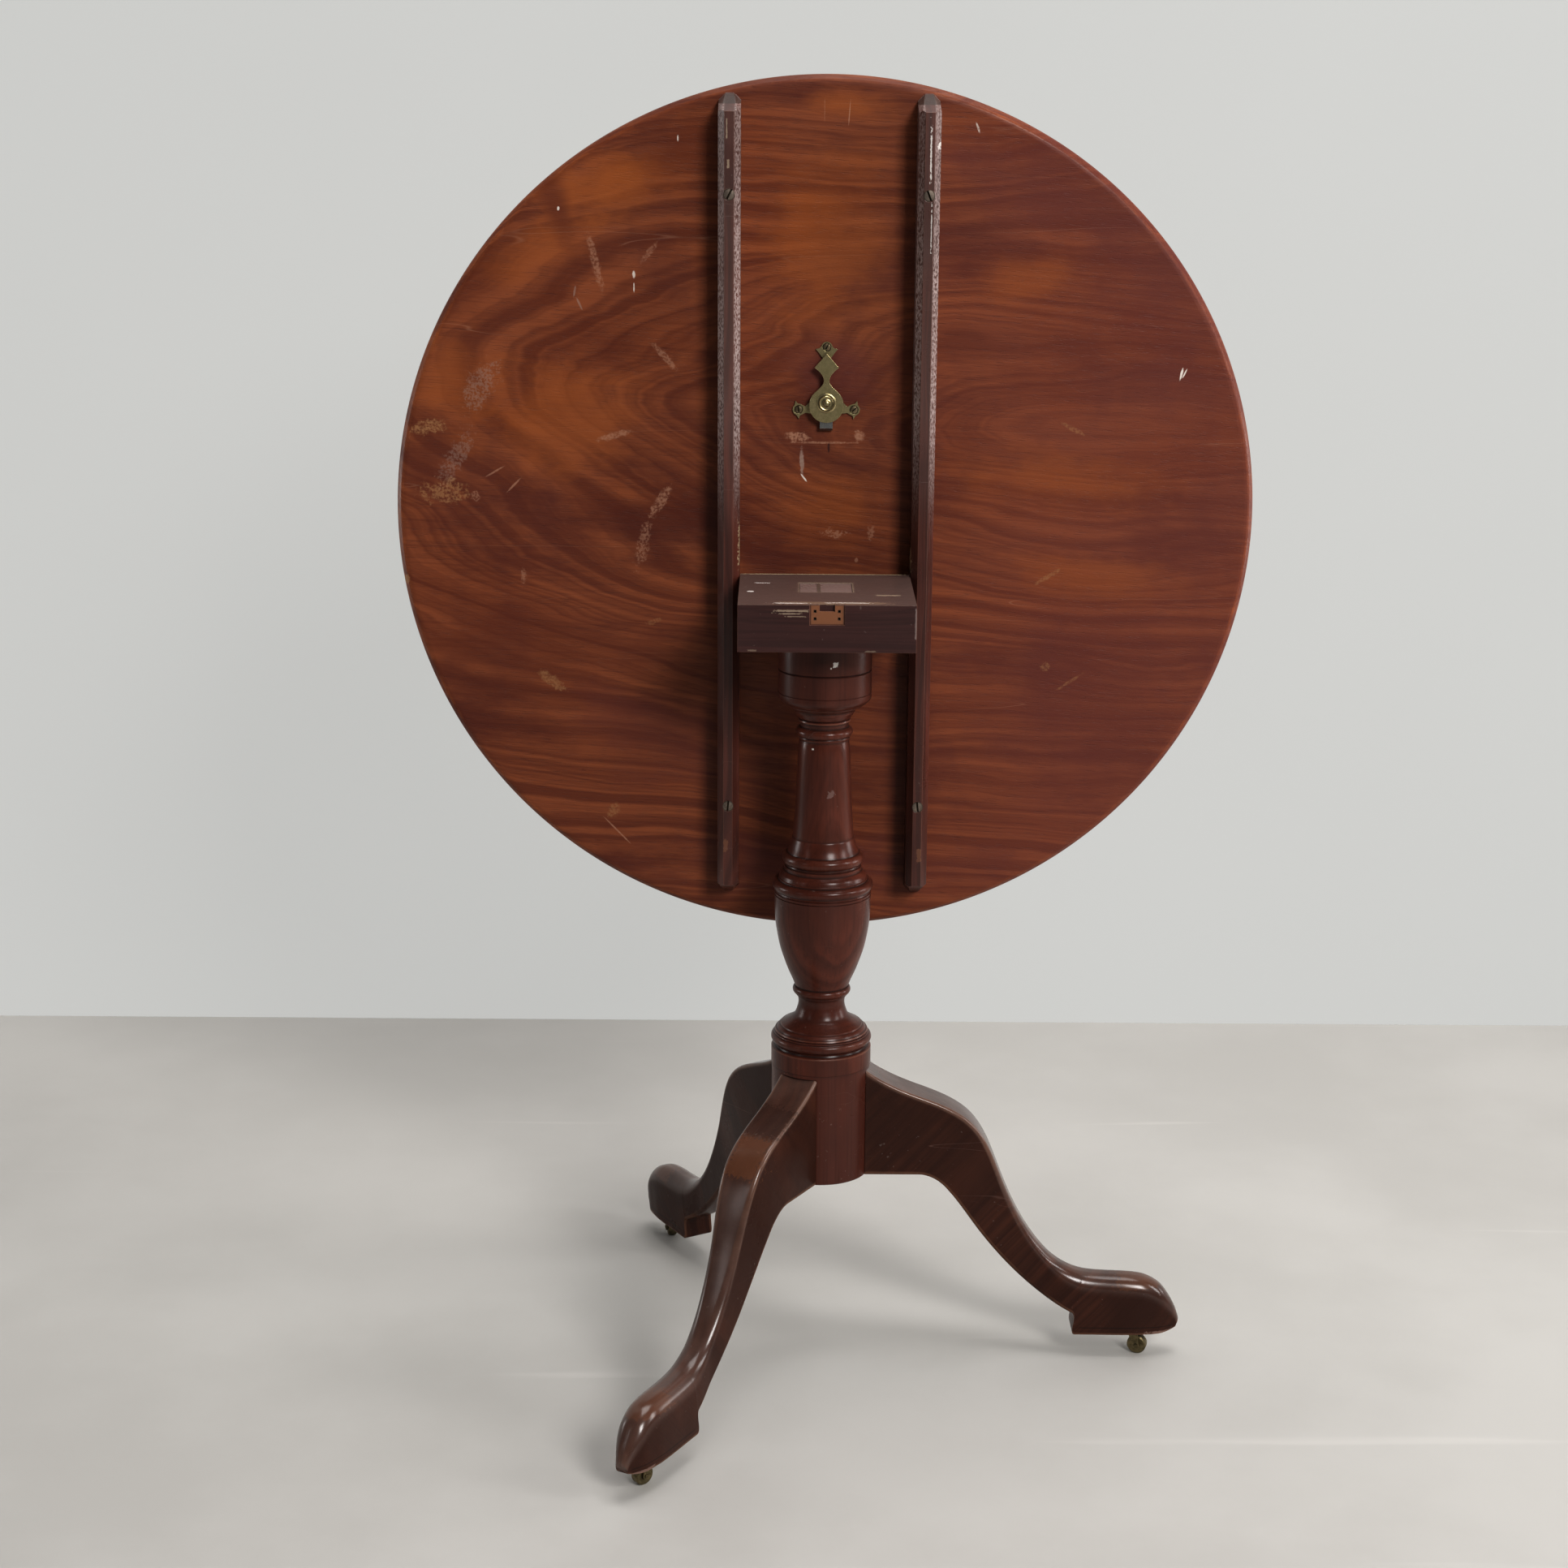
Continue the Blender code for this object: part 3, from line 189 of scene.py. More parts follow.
def wood_figure_group():
    """Rings = noise of the distance from the pith, whose depth under the face falls off smoothly as X
    grows."""
    inputs = {"Vector": "vector", "Pith": "vector", "Lean": "value", "Ring Width": "value", "Warp": "value"}
    outputs = {"Rings": "value", "Fibres": "value", "Pores": "value", "Mottle": "value"}
    tree, given, finish = group("wood_figure", inputs, outputs)
    away = put(tree, "ShaderNodeVectorMath", {0: given["Vector"], 1: given["Pith"]}, operation="SUBTRACT")
    parts = apart(tree, away.outputs[0])
    slope = times(tree, parts[0], given["Lean"])
    round_off = sums(tree, "SQRT", sums(tree, "MULTIPLY_ADD", slope, slope, PITH_EASE))
    buried = times(tree, sums(tree, "SUBTRACT", round_off, slope), 0.5)
    deep = sums(tree, "ADD", buried, parts[1])
    squares = sums(tree, "MULTIPLY_ADD", deep, deep, times(tree, parts[2], parts[2]))
    radius = sums(tree, "SQRT", squares)
    slow = noise(tree, stretched(tree, given["Vector"], (3.5, 9.0, 9.0)), 1.0, 1.0)
    quick = noise(tree, stretched(tree, given["Vector"], (11.0, 42.0, 42.0)), 1.0, 2.0)
    wander = sums(tree, "MULTIPLY_ADD", quick, QUICK_SHARE, slow)
    warped = sums(tree, "MULTIPLY_ADD", sums(tree, "SUBTRACT", wander, MEAN_WANDER), given["Warp"], radius)
    turns = sums(tree, "DIVIDE", warped, given["Ring Width"])
    feeds = {"W": turns, "Scale": 1.0, "Detail": 3.0, "Roughness": 0.62}
    years = put(tree, "ShaderNodeTexNoise", feeds, noise_dimensions="1D").outputs[0]
    rings = ramp(tree, years, 0.28, 0.72)
    fibres = noise(tree, stretched(tree, given["Vector"], FIBRE_STRETCH), 1.0, 4.0, 0.65)
    dashes = noise(tree, stretched(tree, given["Vector"], PORE_STRETCH), 1.0, 1.0)
    pores = ramp(tree, dashes, 0.60, 0.72)
    mottle = noise(tree, stretched(tree, given["Vector"], (5.0, 17.0, 17.0)), 1.0, 5.0, 0.62)
    give(tree, finish, Rings=rings, Fibres=fibres, Pores=pores, Mottle=mottle)
    return tree


WOOD_FIGURE = wood_figure_group()
print("made the wood figure group")

# %% [markdown]
# Marks tell an old table's story: scuffs, dribbles, remains of paper and scratches. Each is an ellipse at
# its own place, turned and given a ragged edge by noise, so a dozen different marks share one group.


# %% Mark and wear groups
RUB_SCALE = 38.0
RUB_BREAK = 0.9
SCRATCH_HALF = 0.006  # in noise units: how near its middle value a scratch's noise must be
SCRATCH_DIRECTIONS = ((0.10, 0.05), (1.25, 0.06), (-0.75, 0.05))  # turn in radians, stretch along the line


def mark_group():
    """1 in the core of an ellipse in X and Z, falling to 0 at its edge, which noise makes ragged and
    broken."""
    inputs = {"Vector": "vector", "Centre": "vector", "Size": "vector", "Turn": "value", "Ragged": "value"}
    inputs |= {"Core": "value", "Fray": "value", "Grit": "value", "Broken": "value"}
    tree, given, finish = group("ragged_mark", inputs, {"Mask": "value"})
    away = put(tree, "ShaderNodeVectorMath", {0: given["Vector"], 1: given["Centre"]}, operation="SUBTRACT")
    about_y = {0: away.outputs[0], 3: given["Turn"]}
    turned = put(tree, "ShaderNodeVectorRotate", about_y, rotation_type="Y_AXIS")
    shrunk = put(tree, "ShaderNodeVectorMath", {0: turned.outputs[0], 1: given["Size"]}, operation="DIVIDE")
    parts = apart(tree, shrunk.outputs[0])
    squares = sums(tree, "MULTIPLY_ADD", parts[0], parts[0], times(tree, parts[2], parts[2]))
    reach = sums(tree, "SQRT", squares)
    edge = sums(tree, "MULTIPLY_ADD", given["Fray"], given["Ragged"], reach)
    kept = sums(tree, "MULTIPLY_ADD", sums(tree, "SUBTRACT", given["Grit"], 1.0), given["Broken"], 1.0)
    give(tree, finish, Mask=times(tree, ramp(tree, edge, 1.0, given["Core"]), kept))
    return tree


def rub_group():
    """Where a hand or cloth has worn an arris: the painted edge value, broken up by noise."""
    inputs = {"Vector": "vector", "Edge": "value", "Amount": "value"}
    tree, given, finish = group("edge_rub", inputs, {"Mask": "value"})
    broken = noise(tree, given["Vector"], RUB_SCALE, 5.0, 0.65)
    lifted = sums(tree, "MULTIPLY_ADD", sums(tree, "SUBTRACT", broken, 0.5), RUB_BREAK, given["Edge"])
    give(tree, finish, Mask=times(tree, ramp(tree, lifted, 0.25, 0.95), given["Amount"]))
    return tree


def scratch_group():
    """Thin lines where a stretched noise crosses its middle value, kept only in patches."""
    inputs = {"Vector": "vector", "Scale": "value", "Spread": "value"}
    tree, given, finish = group("fine_scratches", inputs, {"Mask": "value"})
    lines = None
    for turn, stretch in SCRATCH_DIRECTIONS:
        laid = stretched(tree, given["Vector"], (stretch, 1.0, 1.0), (0.0, turn, turn))
        field = noise(tree, laid, given["Scale"], 1.0)
        thin = ramp(tree, sums(tree, "ABSOLUTE", sums(tree, "SUBTRACT", field, 0.5)), SCRATCH_HALF, 0.0)
        patch = ramp(tree, noise(tree, stretched(tree, laid, (4.0, 4.0, 4.0)), 7.0, 2.0), 0.62, 0.72)
        line = times(tree, thin, patch)
        lines = line if lines is None else sums(tree, "MAXIMUM", lines, line)
    give(tree, finish, Mask=times(tree, lines, given["Spread"]))
    return tree


def patch_group():
    """1 inside an upright box, falling to 0 at its sides, which the frayed value makes ragged."""
    inputs = {"Vector": "vector", "Centre": "vector", "Half": "vector", "Ragged": "value", "Fray": "value"}
    tree, given, finish = group("ragged_patch", inputs, {"Mask": "value"})
    away = put(tree, "ShaderNodeVectorMath", {0: given["Vector"], 1: given["Centre"]}, operation="SUBTRACT")
    size = put(tree, "ShaderNodeVectorMath", {0: away.outputs[0]}, operation="ABSOLUTE")
    share = put(tree, "ShaderNodeVectorMath", {0: size.outputs[0], 1: given["Half"]}, operation="DIVIDE")
    parts = apart(tree, share.outputs[0])
    reach = sums(tree, "MAXIMUM", sums(tree, "MAXIMUM", parts[0], parts[1]), parts[2])
    edge = sums(tree, "MULTIPLY_ADD", given["Fray"], given["Ragged"], reach)
    give(tree, finish, Mask=ramp(tree, edge, 1.0, 0.85))
    return tree


RAGGED_PATCH = patch_group()
RAGGED_MARK = mark_group()
EDGE_RUB = rub_group()
FINE_SCRATCHES = scratch_group()
print("made groups:", RAGGED_MARK.name, EDGE_RUB.name, FINE_SCRATCHES.name)


# %% [markdown]
# Every finish starts the same way: a material whose shader has its constant numbers set on its own
# sockets, the colours and masks linked in, and a bump chain that feeds Normal.


# %% Material helpers
def new_finish(name, **constants):
    """A material: (material, its node tree, its shader)."""
    made = bpy.data.materials.new(name)
    made.use_nodes = True
    shader = made.node_tree.nodes["Principled BSDF"]
    for socket, value in constants.items():
        shader.inputs[socket.replace("_", " ")].default_value = value
    return made, made.node_tree, shader


def link(tree, socket, shader, name):
    tree.links.new(socket, shader.inputs[name])


def bumped(tree, height, distance, before=None, strength=1.0):
    """A Bump node's normal, on top of an earlier one."""
    feeds = {"Height": height, "Distance": distance, "Strength": strength}
    if before is not None:
        feeds["Normal"] = before
    return put(tree, "ShaderNodeBump", feeds).outputs[0]


def painted(tree, name):
    """The value that a piece has at each of its points under this name."""
    return put(tree, "ShaderNodeAttribute", attribute_name=name)


def object_place(tree):
    return put(tree, "ShaderNodeTexCoord").outputs["Object"]


print("material helpers ready")

# %% [markdown]
# The underside of the top was never polished like the show side. It is red-brown mahogany under a thin,
# uneven coat, more orange at the upper left and more purple at the right, with an oval figure left of the
# middle. Towards the right a painted sheen also makes the colour cooler, for the light reflected there.

# %% Top mahogany
TOP_PITH = (0.160, 0.0805, 0.842)
TOP_LEAN = 0.36
GRAIN_FALL = 3.5
TOP_PITH_FALLEN = Matrix.Rotation(math.radians(-GRAIN_FALL), 3, "Y") @ Vector(TOP_PITH)
PALE = (0.442, 0.242, 0.158, 1.0)
GREYISH = (0.351, 0.242, 0.196, 1.0)
TAN = (0.351, 0.183, 0.0837, 1.0)
WHITE = (0.794, 0.735, 0.665, 1.0)
BLACK_STAIN = (0.0437, 0.0144, 0.0121, 1.0)
ORANGE = (0.371, 0.114, 0.0291, 1.0)
BROWN = (0.133, 0.0329, 0.0167, 1.0)
PURPLE = (0.139, 0.0384, 0.0310, 1.0)
RING_DARK = (0.148, 0.0393, 0.0185, 1.0)
RING_LIGHT = (0.265, 0.0822, 0.0338, 1.0)
MOTTLE_DARK = (0.105, 0.0251, 0.0156, 1.0)
FIBRE_DARK = (0.0910, 0.0221, 0.0133, 1.0)
PORE_DARK = (0.0684, 0.0189, 0.0121, 1.0)
BLOTCH_DARK = (0.100, 0.0260, 0.0200, 1.0)
PAINTED_SHEEN_RIGHT = (0.189, 0.0556, 0.0420, 1.0)
RUBBED_RIM = (0.470, 0.140, 0.0360, 1.0)
# Wide soft stains: centre (x, z), half size, turn in degrees, strength, colour
TOP_STAINS = (
    ((-0.185, 1.035), (0.085, 0.040), 22, 0.75, ORANGE),
    ((-0.245, 0.985), (0.070, 0.030), 25, 0.45, ORANGE),
    ((-0.320, 0.870), (0.050, 0.075), 25, 0.45, ORANGE),
    ((-0.225, 0.835), (0.090, 0.070), 0, 0.50, ORANGE),
    ((0.000, 0.985), (0.075, 0.110), 0, 0.50, ORANGE),
    ((0.010, 0.770), (0.060, 0.045), 0, 0.35, ORANGE),
    ((0.010, 1.105), (0.060, 0.018), 0, 0.60, ORANGE),
    ((0.170, 0.960), (0.060, 0.030), 10, 0.35, ORANGE),
    ((0.200, 0.790), (0.120, 0.035), -8, 0.35, ORANGE),
    ((0.240, 0.700), (0.110, 0.030), -6, 0.35, ORANGE),
    ((-0.230, 1.015), (0.016, 0.045), 20, 0.70, BROWN),
    ((-0.120, 1.070), (0.055, 0.028), 18, 0.60, BROWN),
    ((-0.330, 0.935), (0.060, 0.022), 30, 0.60, BROWN),
    ((-0.350, 0.800), (0.020, 0.040), 0, 0.55, BROWN),
    ((-0.260, 0.640), (0.130, 0.060), -18, 0.50, BROWN),
    ((-0.150, 0.560), (0.110, 0.060), -10, 0.45, PURPLE),
    ((0.000, 0.440), (0.200, 0.045), 0, 0.60, PURPLE),
    ((0.170, 1.040), (0.110, 0.050), -25, 0.65, PURPLE),
    ((0.290, 0.930), (0.070, 0.110), 15, 0.50, PURPLE),
    ((0.240, 0.600), (0.150, 0.120), 20, 0.45, PURPLE),
    ((0.002, 0.885), (0.052, 0.044), 0, 0.75, PURPLE),
)
# Marks: centre (x, z), half size, turn in degrees, raggedness, how broken, strength, colour
TOP_MARKS = (
    ((-0.199, 0.972), (0.0040, 0.030), 14, 1.4, 0.9, 0.50, PALE),
    ((-0.153, 0.981), (0.0030, 0.014), -38, 1.4, 0.9, 0.35, PALE),
    ((-0.166, 0.962), (0.0016, 0.004), 0, 1.0, 0.2, 0.85, WHITE),
    ((-0.166, 0.951), (0.0007, 0.005), 0, 1.0, 0.2, 0.80, WHITE),
    ((-0.217, 0.947), (0.0011, 0.006), -10, 0.9, 0.2, 0.55, GREYISH),
    ((-0.213, 0.937), (0.0011, 0.007), 25, 0.9, 0.2, 0.55, GREYISH),
    ((-0.139, 0.891), (0.0036, 0.018), 42, 1.5, 0.8, 0.50, PALE),
    ((-0.184, 0.824), (0.0180, 0.0036), 15, 1.4, 0.7, 0.55, PALE),
    ((-0.299, 0.866), (0.013, 0.026), -28, 2.6, 1.0, 0.40, GREYISH),
    ((-0.322, 0.804), (0.010, 0.030), -30, 2.6, 1.0, 0.34, GREYISH),
    ((-0.345, 0.830), (0.020, 0.007), 18, 2.4, 0.9, 0.75, TAN),
    ((-0.332, 0.774), (0.024, 0.012), 0, 2.6, 1.0, 0.65, TAN),
    ((-0.368, 0.696), (0.004, 0.005), 0, 1.3, 0.3, 0.90, TAN),
    ((-0.288, 0.792), (0.0120, 0.0010), 30, 0.8, 0.3, 0.55, PALE),
    ((-0.272, 0.780), (0.0110, 0.0011), 46, 0.8, 0.3, 0.60, PALE),
    ((-0.145, 0.765), (0.0050, 0.020), -32, 2.0, 0.9, 0.60, PALE),
    ((-0.159, 0.730), (0.0060, 0.026), -14, 2.2, 1.0, 0.45, PALE),
    ((-0.241, 0.606), (0.016, 0.0060), -35, 1.8, 0.6, 0.60, TAN),
    ((-0.184, 0.468), (0.0009, 0.022), 44, 0.8, 0.3, 0.60, PALE),
    ((-0.187, 0.487), (0.006, 0.0085), -30, 1.9, 0.8, 0.50, TAN),
    ((0.196, 0.702), (0.0160, 0.0026), 34, 1.5, 0.8, 0.45, TAN),
    ((0.219, 0.608), (0.0170, 0.0018), 33, 1.4, 0.8, 0.40, TAN),
    ((0.196, 0.621), (0.006, 0.005), 0, 2.0, 0.9, 0.45, TAN),
    ((0.215, 0.832), (0.0130, 0.0024), -28, 1.6, 0.8, 0.45, TAN),
    ((0.3065, 0.880), (0.0012, 0.007), -12, 1.0, 0.1, 0.95, WHITE),
    ((0.3095, 0.881), (0.0007, 0.005), -25, 1.0, 0.1, 0.90, WHITE),
    ((0.1257, 1.0865), (0.0013, 0.006), 20, 1.4, 0.5, 0.60, WHITE),
    ((0.017, 1.097), (0.0006, 0.013), -4, 0.7, 0.1, 0.65, PALE),
    ((-0.004, 1.100), (0.0005, 0.012), 0, 0.7, 0.4, 0.35, PALE),
    ((-0.0209, 0.8020), (0.0023, 0.0140), 2, 1.2, 0.2, 0.90, GREYISH),
    ((-0.0188, 0.7880), (0.0010, 0.0055), 38, 0.8, 0.1, 0.90, WHITE),
    ((-0.0250, 0.8240), (0.0120, 0.0045), 0, 2.2, 0.8, 0.75, PALE),
    ((0.0290, 0.8250), (0.0060, 0.0055), 0, 1.8, 0.6, 0.75, PALE),
    ((-0.0020, 0.8190), (0.0360, 0.0012), 0, 1.6, 0.6, 0.65, PALE),
    ((0.0025, 0.8145), (0.0013, 0.0052), 0, 0.8, 0.1, 0.85, BLACK_STAIN),
    ((0.0097, 0.7390), (0.0120, 0.0050), 0, 3.4, 1.0, 0.50, PALE),
    ((0.0400, 0.7420), (0.0040, 0.0090), 0, 3.0, 1.0, 0.45, PALE),
    ((0.0280, 0.7160), (0.0020, 0.0020), 0, 1.6, 0.3, 0.60, PALE),
    ((-0.2300, 1.0170), (0.0012, 0.0020), 0, 1.2, 0.1, 0.80, WHITE),
    ((-0.1280, 1.0760), (0.0008, 0.0035), 0, 1.2, 0.1, 0.70, WHITE),
    ((-0.2650, 0.7000), (0.0030, 0.0070), 0, 1.9, 0.9, 0.40, PALE),
    ((-0.3060, 0.7700), (0.0040, 0.0060), 20, 1.9, 0.9, 0.45, PALE),
    ((-0.150, 0.660), (0.0080, 0.0030), 20, 1.9, 0.7, 0.40, TAN),
)


def mark_mask(tree, place, centre, size, turn, strength, **feeds):
    """One mark's mask: an ellipse about (x, z) with these half sizes, turned in the board's plane."""
    feeds |= {"Vector": place, "Centre": (centre[0], 0.0, centre[1]), "Size": (size[0], 1.0, size[1])}
    feeds["Turn"] = math.radians(turn)
    return times(tree, use(tree, RAGGED_MARK, feeds)["Mask"], strength)


def top_mahogany():
    """Rings and mottle choose the red-brown, stains and marks lie over it, and fibres and pores give the
    bump."""
    made, tree, shader = new_finish("top_mahogany", Specular_IOR_Level=0.22)
    place = object_place(tree)
    fallen = stretched(tree, place, (1.0, 1.0, 1.0), (0.0, math.radians(-GRAIN_FALL), 0.0))
    feeds = {"Vector": fallen, "Pith": TOP_PITH_FALLEN, "Lean": TOP_LEAN, "Ring Width": 0.0115, "Warp": 0.075}
    wood = use(tree, WOOD_FIGURE, feeds)
    colour = blend(tree, wood["Rings"], RING_DARK, RING_LIGHT)
    dark = times(tree, ramp(tree, wood["Mottle"], 0.52, 0.28), 0.85)
    colour = blend(tree, dark, colour, MOTTLE_DARK)
    line = times(tree, ramp(tree, wood["Fibres"], 0.54, 0.34), 0.28)
    colour = blend(tree, line, colour, FIBRE_DARK)
    colour = blend(tree, times(tree, wood["Pores"], 0.30), colour, PORE_DARK)
    blotch = ramp(tree, noise(tree, stretched(tree, place, (1.0, 1.0, 0.6)), 10.0, 4.0, 0.6), 0.50, 0.68)
    colour = blend(tree, times(tree, blotch, 0.42), colour, BLOTCH_DARK)
    side = apart(tree, place)[0]
    # painted sheen: the board's right side is tinted cooler and greyer for the light it reflects
    right_sheen = ramp(tree, side, 0.02, 0.24, 0.0, 0.42)
    colour = blend(tree, right_sheen, colour, PAINTED_SHEEN_RIGHT)
    fray = sums(tree, "SUBTRACT", noise(tree, place, 190.0, 4.0, 0.7), 0.5)
    cloud = sums(tree, "SUBTRACT", noise(tree, stretched(tree, place, (22.0, 40.0, 40.0)), 1.0, 4.0), 0.5)
    grit = ramp(tree, noise(tree, place, 420.0, 3.0), 0.36, 0.60)
    for centre, size, turn, strength, tint in TOP_STAINS:
        looks = {"Ragged": 1.6, "Core": 0.1, "Fray": cloud, "Broken": 0.0}
        colour = blend(tree, mark_mask(tree, place, centre, size, turn, strength, **looks), colour, tint)
    scars = None
    for centre, size, turn, ragged, broken, strength, tint in TOP_MARKS:
        looks = {"Ragged": ragged, "Core": 0.55, "Fray": fray, "Grit": grit, "Broken": broken}
        mask = mark_mask(tree, place, centre, size, turn, strength, **looks)
        colour = blend(tree, mask, colour, tint)
        scars = mask if scars is None else sums(tree, "MAXIMUM", scars, mask)
    scratches = use(tree, FINE_SCRATCHES, {"Vector": place, "Scale": 55.0, "Spread": 0.5})["Mask"]
    colour = blend(tree, times(tree, scratches, 0.45), colour, PALE)
    edge = painted(tree, "edge").outputs["Fac"]
    rub = use(tree, EDGE_RUB, {"Vector": place, "Edge": edge, "Amount": 0.75})["Mask"]
    colour = blend(tree, rub, colour, RUBBED_RIM)
    link(tree, colour, shader, "Base Color")
    uneven = noise(tree, stretched(tree, place, (6.0, 14.0, 14.0)), 1.0, 4.0)
    roughness = ramp(tree, uneven, 0.35, 0.65, 0.34, 0.50)
    roughness = sums(tree, "MULTIPLY_ADD", scars, 0.22, roughness)
    link(tree, roughness, shader, "Roughness")
    normal = bumped(tree, wood["Fibres"], 0.00012)
    normal = bumped(tree, times(tree, wood["Pores"], -1.0), 0.00010, normal)
    normal = bumped(tree, times(tree, scratches, -1.0), 0.00012, normal)
    link(tree, normal, shader, "Normal")
    return made


TOP_WOOD = top_mahogany()
print("made", TOP_WOOD.name, "with", len(TOP_MARKS), "marks")

# %% [markdown]
# The block, pillar and bearers carry marks at known places: glue and chalk on the block's top, the bare
# recess where a strike plate was nailed, white scratches on a bearer. A few patches paint light or shade
# instead: a darker collar under the block, a highlight on an arris, glints on the glue, dark nail holes
# and a line above the sole. Each is a ragged box in the object's coordinates, so the same group makes
# them all, and it stays on the wood when the top tilts.

# %% Marks on the dark wood
BEARER_OUT = 0.084
NAIL_HOLE = (0.012, 0.009, 0.008, 1.0)
NEAR_BLACK = (0.040, 0.024, 0.018, 1.0)
RUSSET = (0.200, 0.078, 0.034, 1.0)
DUST = (0.160, 0.108, 0.092, 1.0)
GLUE = (0.420, 0.330, 0.240, 1.0)
RAW_WOOD = (0.250, 0.110, 0.055, 1.0)
CHALK = (0.800, 0.760, 0.720, 1.0)
WAX = (0.560, 0.470, 0.300, 1.0)
# pale grey: painted sheen on the bearers and a painted highlight on the block's arris; dust and pale marks on
# the tenon and shaft
DUST_AND_SHEEN_GREY = (0.330, 0.255, 0.235, 1.0)
PAINTED_SHEEN_SILVER = (0.500, 0.410, 0.390, 1.0)
# pale brown: the legs' painted sheen on their upper faces, and real wear at the soles
WEAR_AND_SHEEN_BROWN = (0.360, 0.240, 0.200, 1.0)
# Patches: centre, half size, raggedness, strength, colour
BLOCK_PATCHES = (
    ((0.0, 0.0, 0.7068), (0.090, 0.090, 0.0014), 0.4, 0.65, DUST),
    ((0.0, 0.0, 0.7068), (0.0248, 0.0248, 0.0014), 0.2, 0.70, GLUE),
    ((0.0, 0.0, 0.7068), (0.0228, 0.0228, 0.0014), 0.3, 0.85, (0.105, 0.070, 0.058, 1.0)),
    ((0.004, -0.0715, 0.7068), (0.0480, 0.0060, 0.0016), 1.8, 0.60, (0.300, 0.205, 0.140, 1.0)),
    # two white spots on the glue strip: dried glue, with the glints on it painted in
    ((-0.030, -0.0725, 0.7068), (0.0150, 0.0018, 0.0016), 3.2, 0.80, CHALK),
    ((0.018, -0.0700, 0.7068), (0.0170, 0.0015, 0.0016), 3.2, 0.80, CHALK),
    ((-0.054, 0.0200, 0.7068), (0.0060, 0.0018, 0.0016), 2.4, 0.80, CHALK),
    ((-0.064, -0.0200, 0.7068), (0.0030, 0.0030, 0.0016), 1.6, 0.80, CHALK),
    ((0.052, -0.0350, 0.7068), (0.0100, 0.0030, 0.0016), 2.2, 0.60, GLUE),
    ((0.0, 0.0650, 0.7060), (0.0740, 0.0030, 0.0030), 1.1, 0.95, WAX),
    ((0.0, -0.0790, 0.6975), (0.0146, 0.0030, 0.0086), 0.0, 0.95, RAW_WOOD),
    ((-0.029, -0.0800, 0.7010), (0.0130, 0.0010, 0.0009), 2.2, 0.65, GLUE),
    ((-0.031, -0.0800, 0.6985), (0.0110, 0.0010, 0.0006), 2.2, 0.65, GLUE),
    ((-0.026, -0.0800, 0.6962), (0.0090, 0.0010, 0.0005), 2.2, 0.50, GLUE),
    # a grey line down the block's front right arris: a painted highlight
    ((0.0735, -0.0800, 0.6900), (0.0009, 0.0020, 0.0130), 1.2, 0.55, DUST_AND_SHEEN_GREY),
    ((-0.062, -0.0800, 0.6675), (0.0045, 0.0015, 0.0008), 2.0, 0.35, GLUE),
    ((0.036, -0.0800, 0.6672), (0.0050, 0.0015, 0.0007), 2.4, 0.30, GLUE),
    # nail holes, not modelled: painted near black for the shade inside them
    *(
        ((side * 0.0100, -0.0790, height), (0.0013, 0.0040, 0.0013), 0.4, 0.92, NAIL_HOLE)
        for side in (-1, 1)
        for height in (0.7005, 0.6942)
    ),
)
PILLAR_PATCHES = (
    # painted shade: the collar under the block's overhang is painted darker
    ((0.0, 0.0, 0.6360), (0.050, 0.050, 0.0310), 0.0, 0.40, (0.040, 0.014, 0.011, 1.0)),
    ((0.0, 0.0, 0.7060), (0.030, 0.030, 0.0014), 0.3, 0.70, DUST_AND_SHEEN_GREY),
    ((0.0083, -0.0390, 0.6470), (0.0022, 0.0040, 0.0022), 2.0, 0.95, CHALK),
    ((0.0045, -0.0390, 0.6440), (0.0007, 0.0040, 0.0008), 0.0, 0.80, CHALK),
    ((0.0060, -0.0230, 0.5300), (0.0030, 0.0040, 0.0028), 3.2, 0.30, DUST_AND_SHEEN_GREY),
    ((-0.010, -0.0230, 0.5690), (0.0010, 0.0060, 0.0008), 0.6, 0.70, CHALK),
)
LEG_PATCHES = (
    # a dark line above the sole: painted shade of a groove that is not modelled
    ((0.2800, 0.0, 0.0290), (0.0460, 9.0, 0.0006), 0.0, 0.60, (0.014, 0.008, 0.006, 1.0)),
    ((0.3180, 0.0, 0.0236), (0.0200, 9.0, 0.0016), 1.5, 0.40, WEAR_AND_SHEEN_BROWN),
    ((0.1280, 2.4, 0.2320), (0.0200, 0.0160, 0.0150), 1.6, 0.45, RUSSET),
    ((0.0900, 2.4, 0.2540), (0.0200, 0.0200, 0.0120), 1.6, 0.45, (0.030, 0.014, 0.011, 1.0)),
    ((0.2950, 0.0, 0.0720), (0.0260, 9.0, 0.0060), 1.8, 0.25, RUSSET),
)
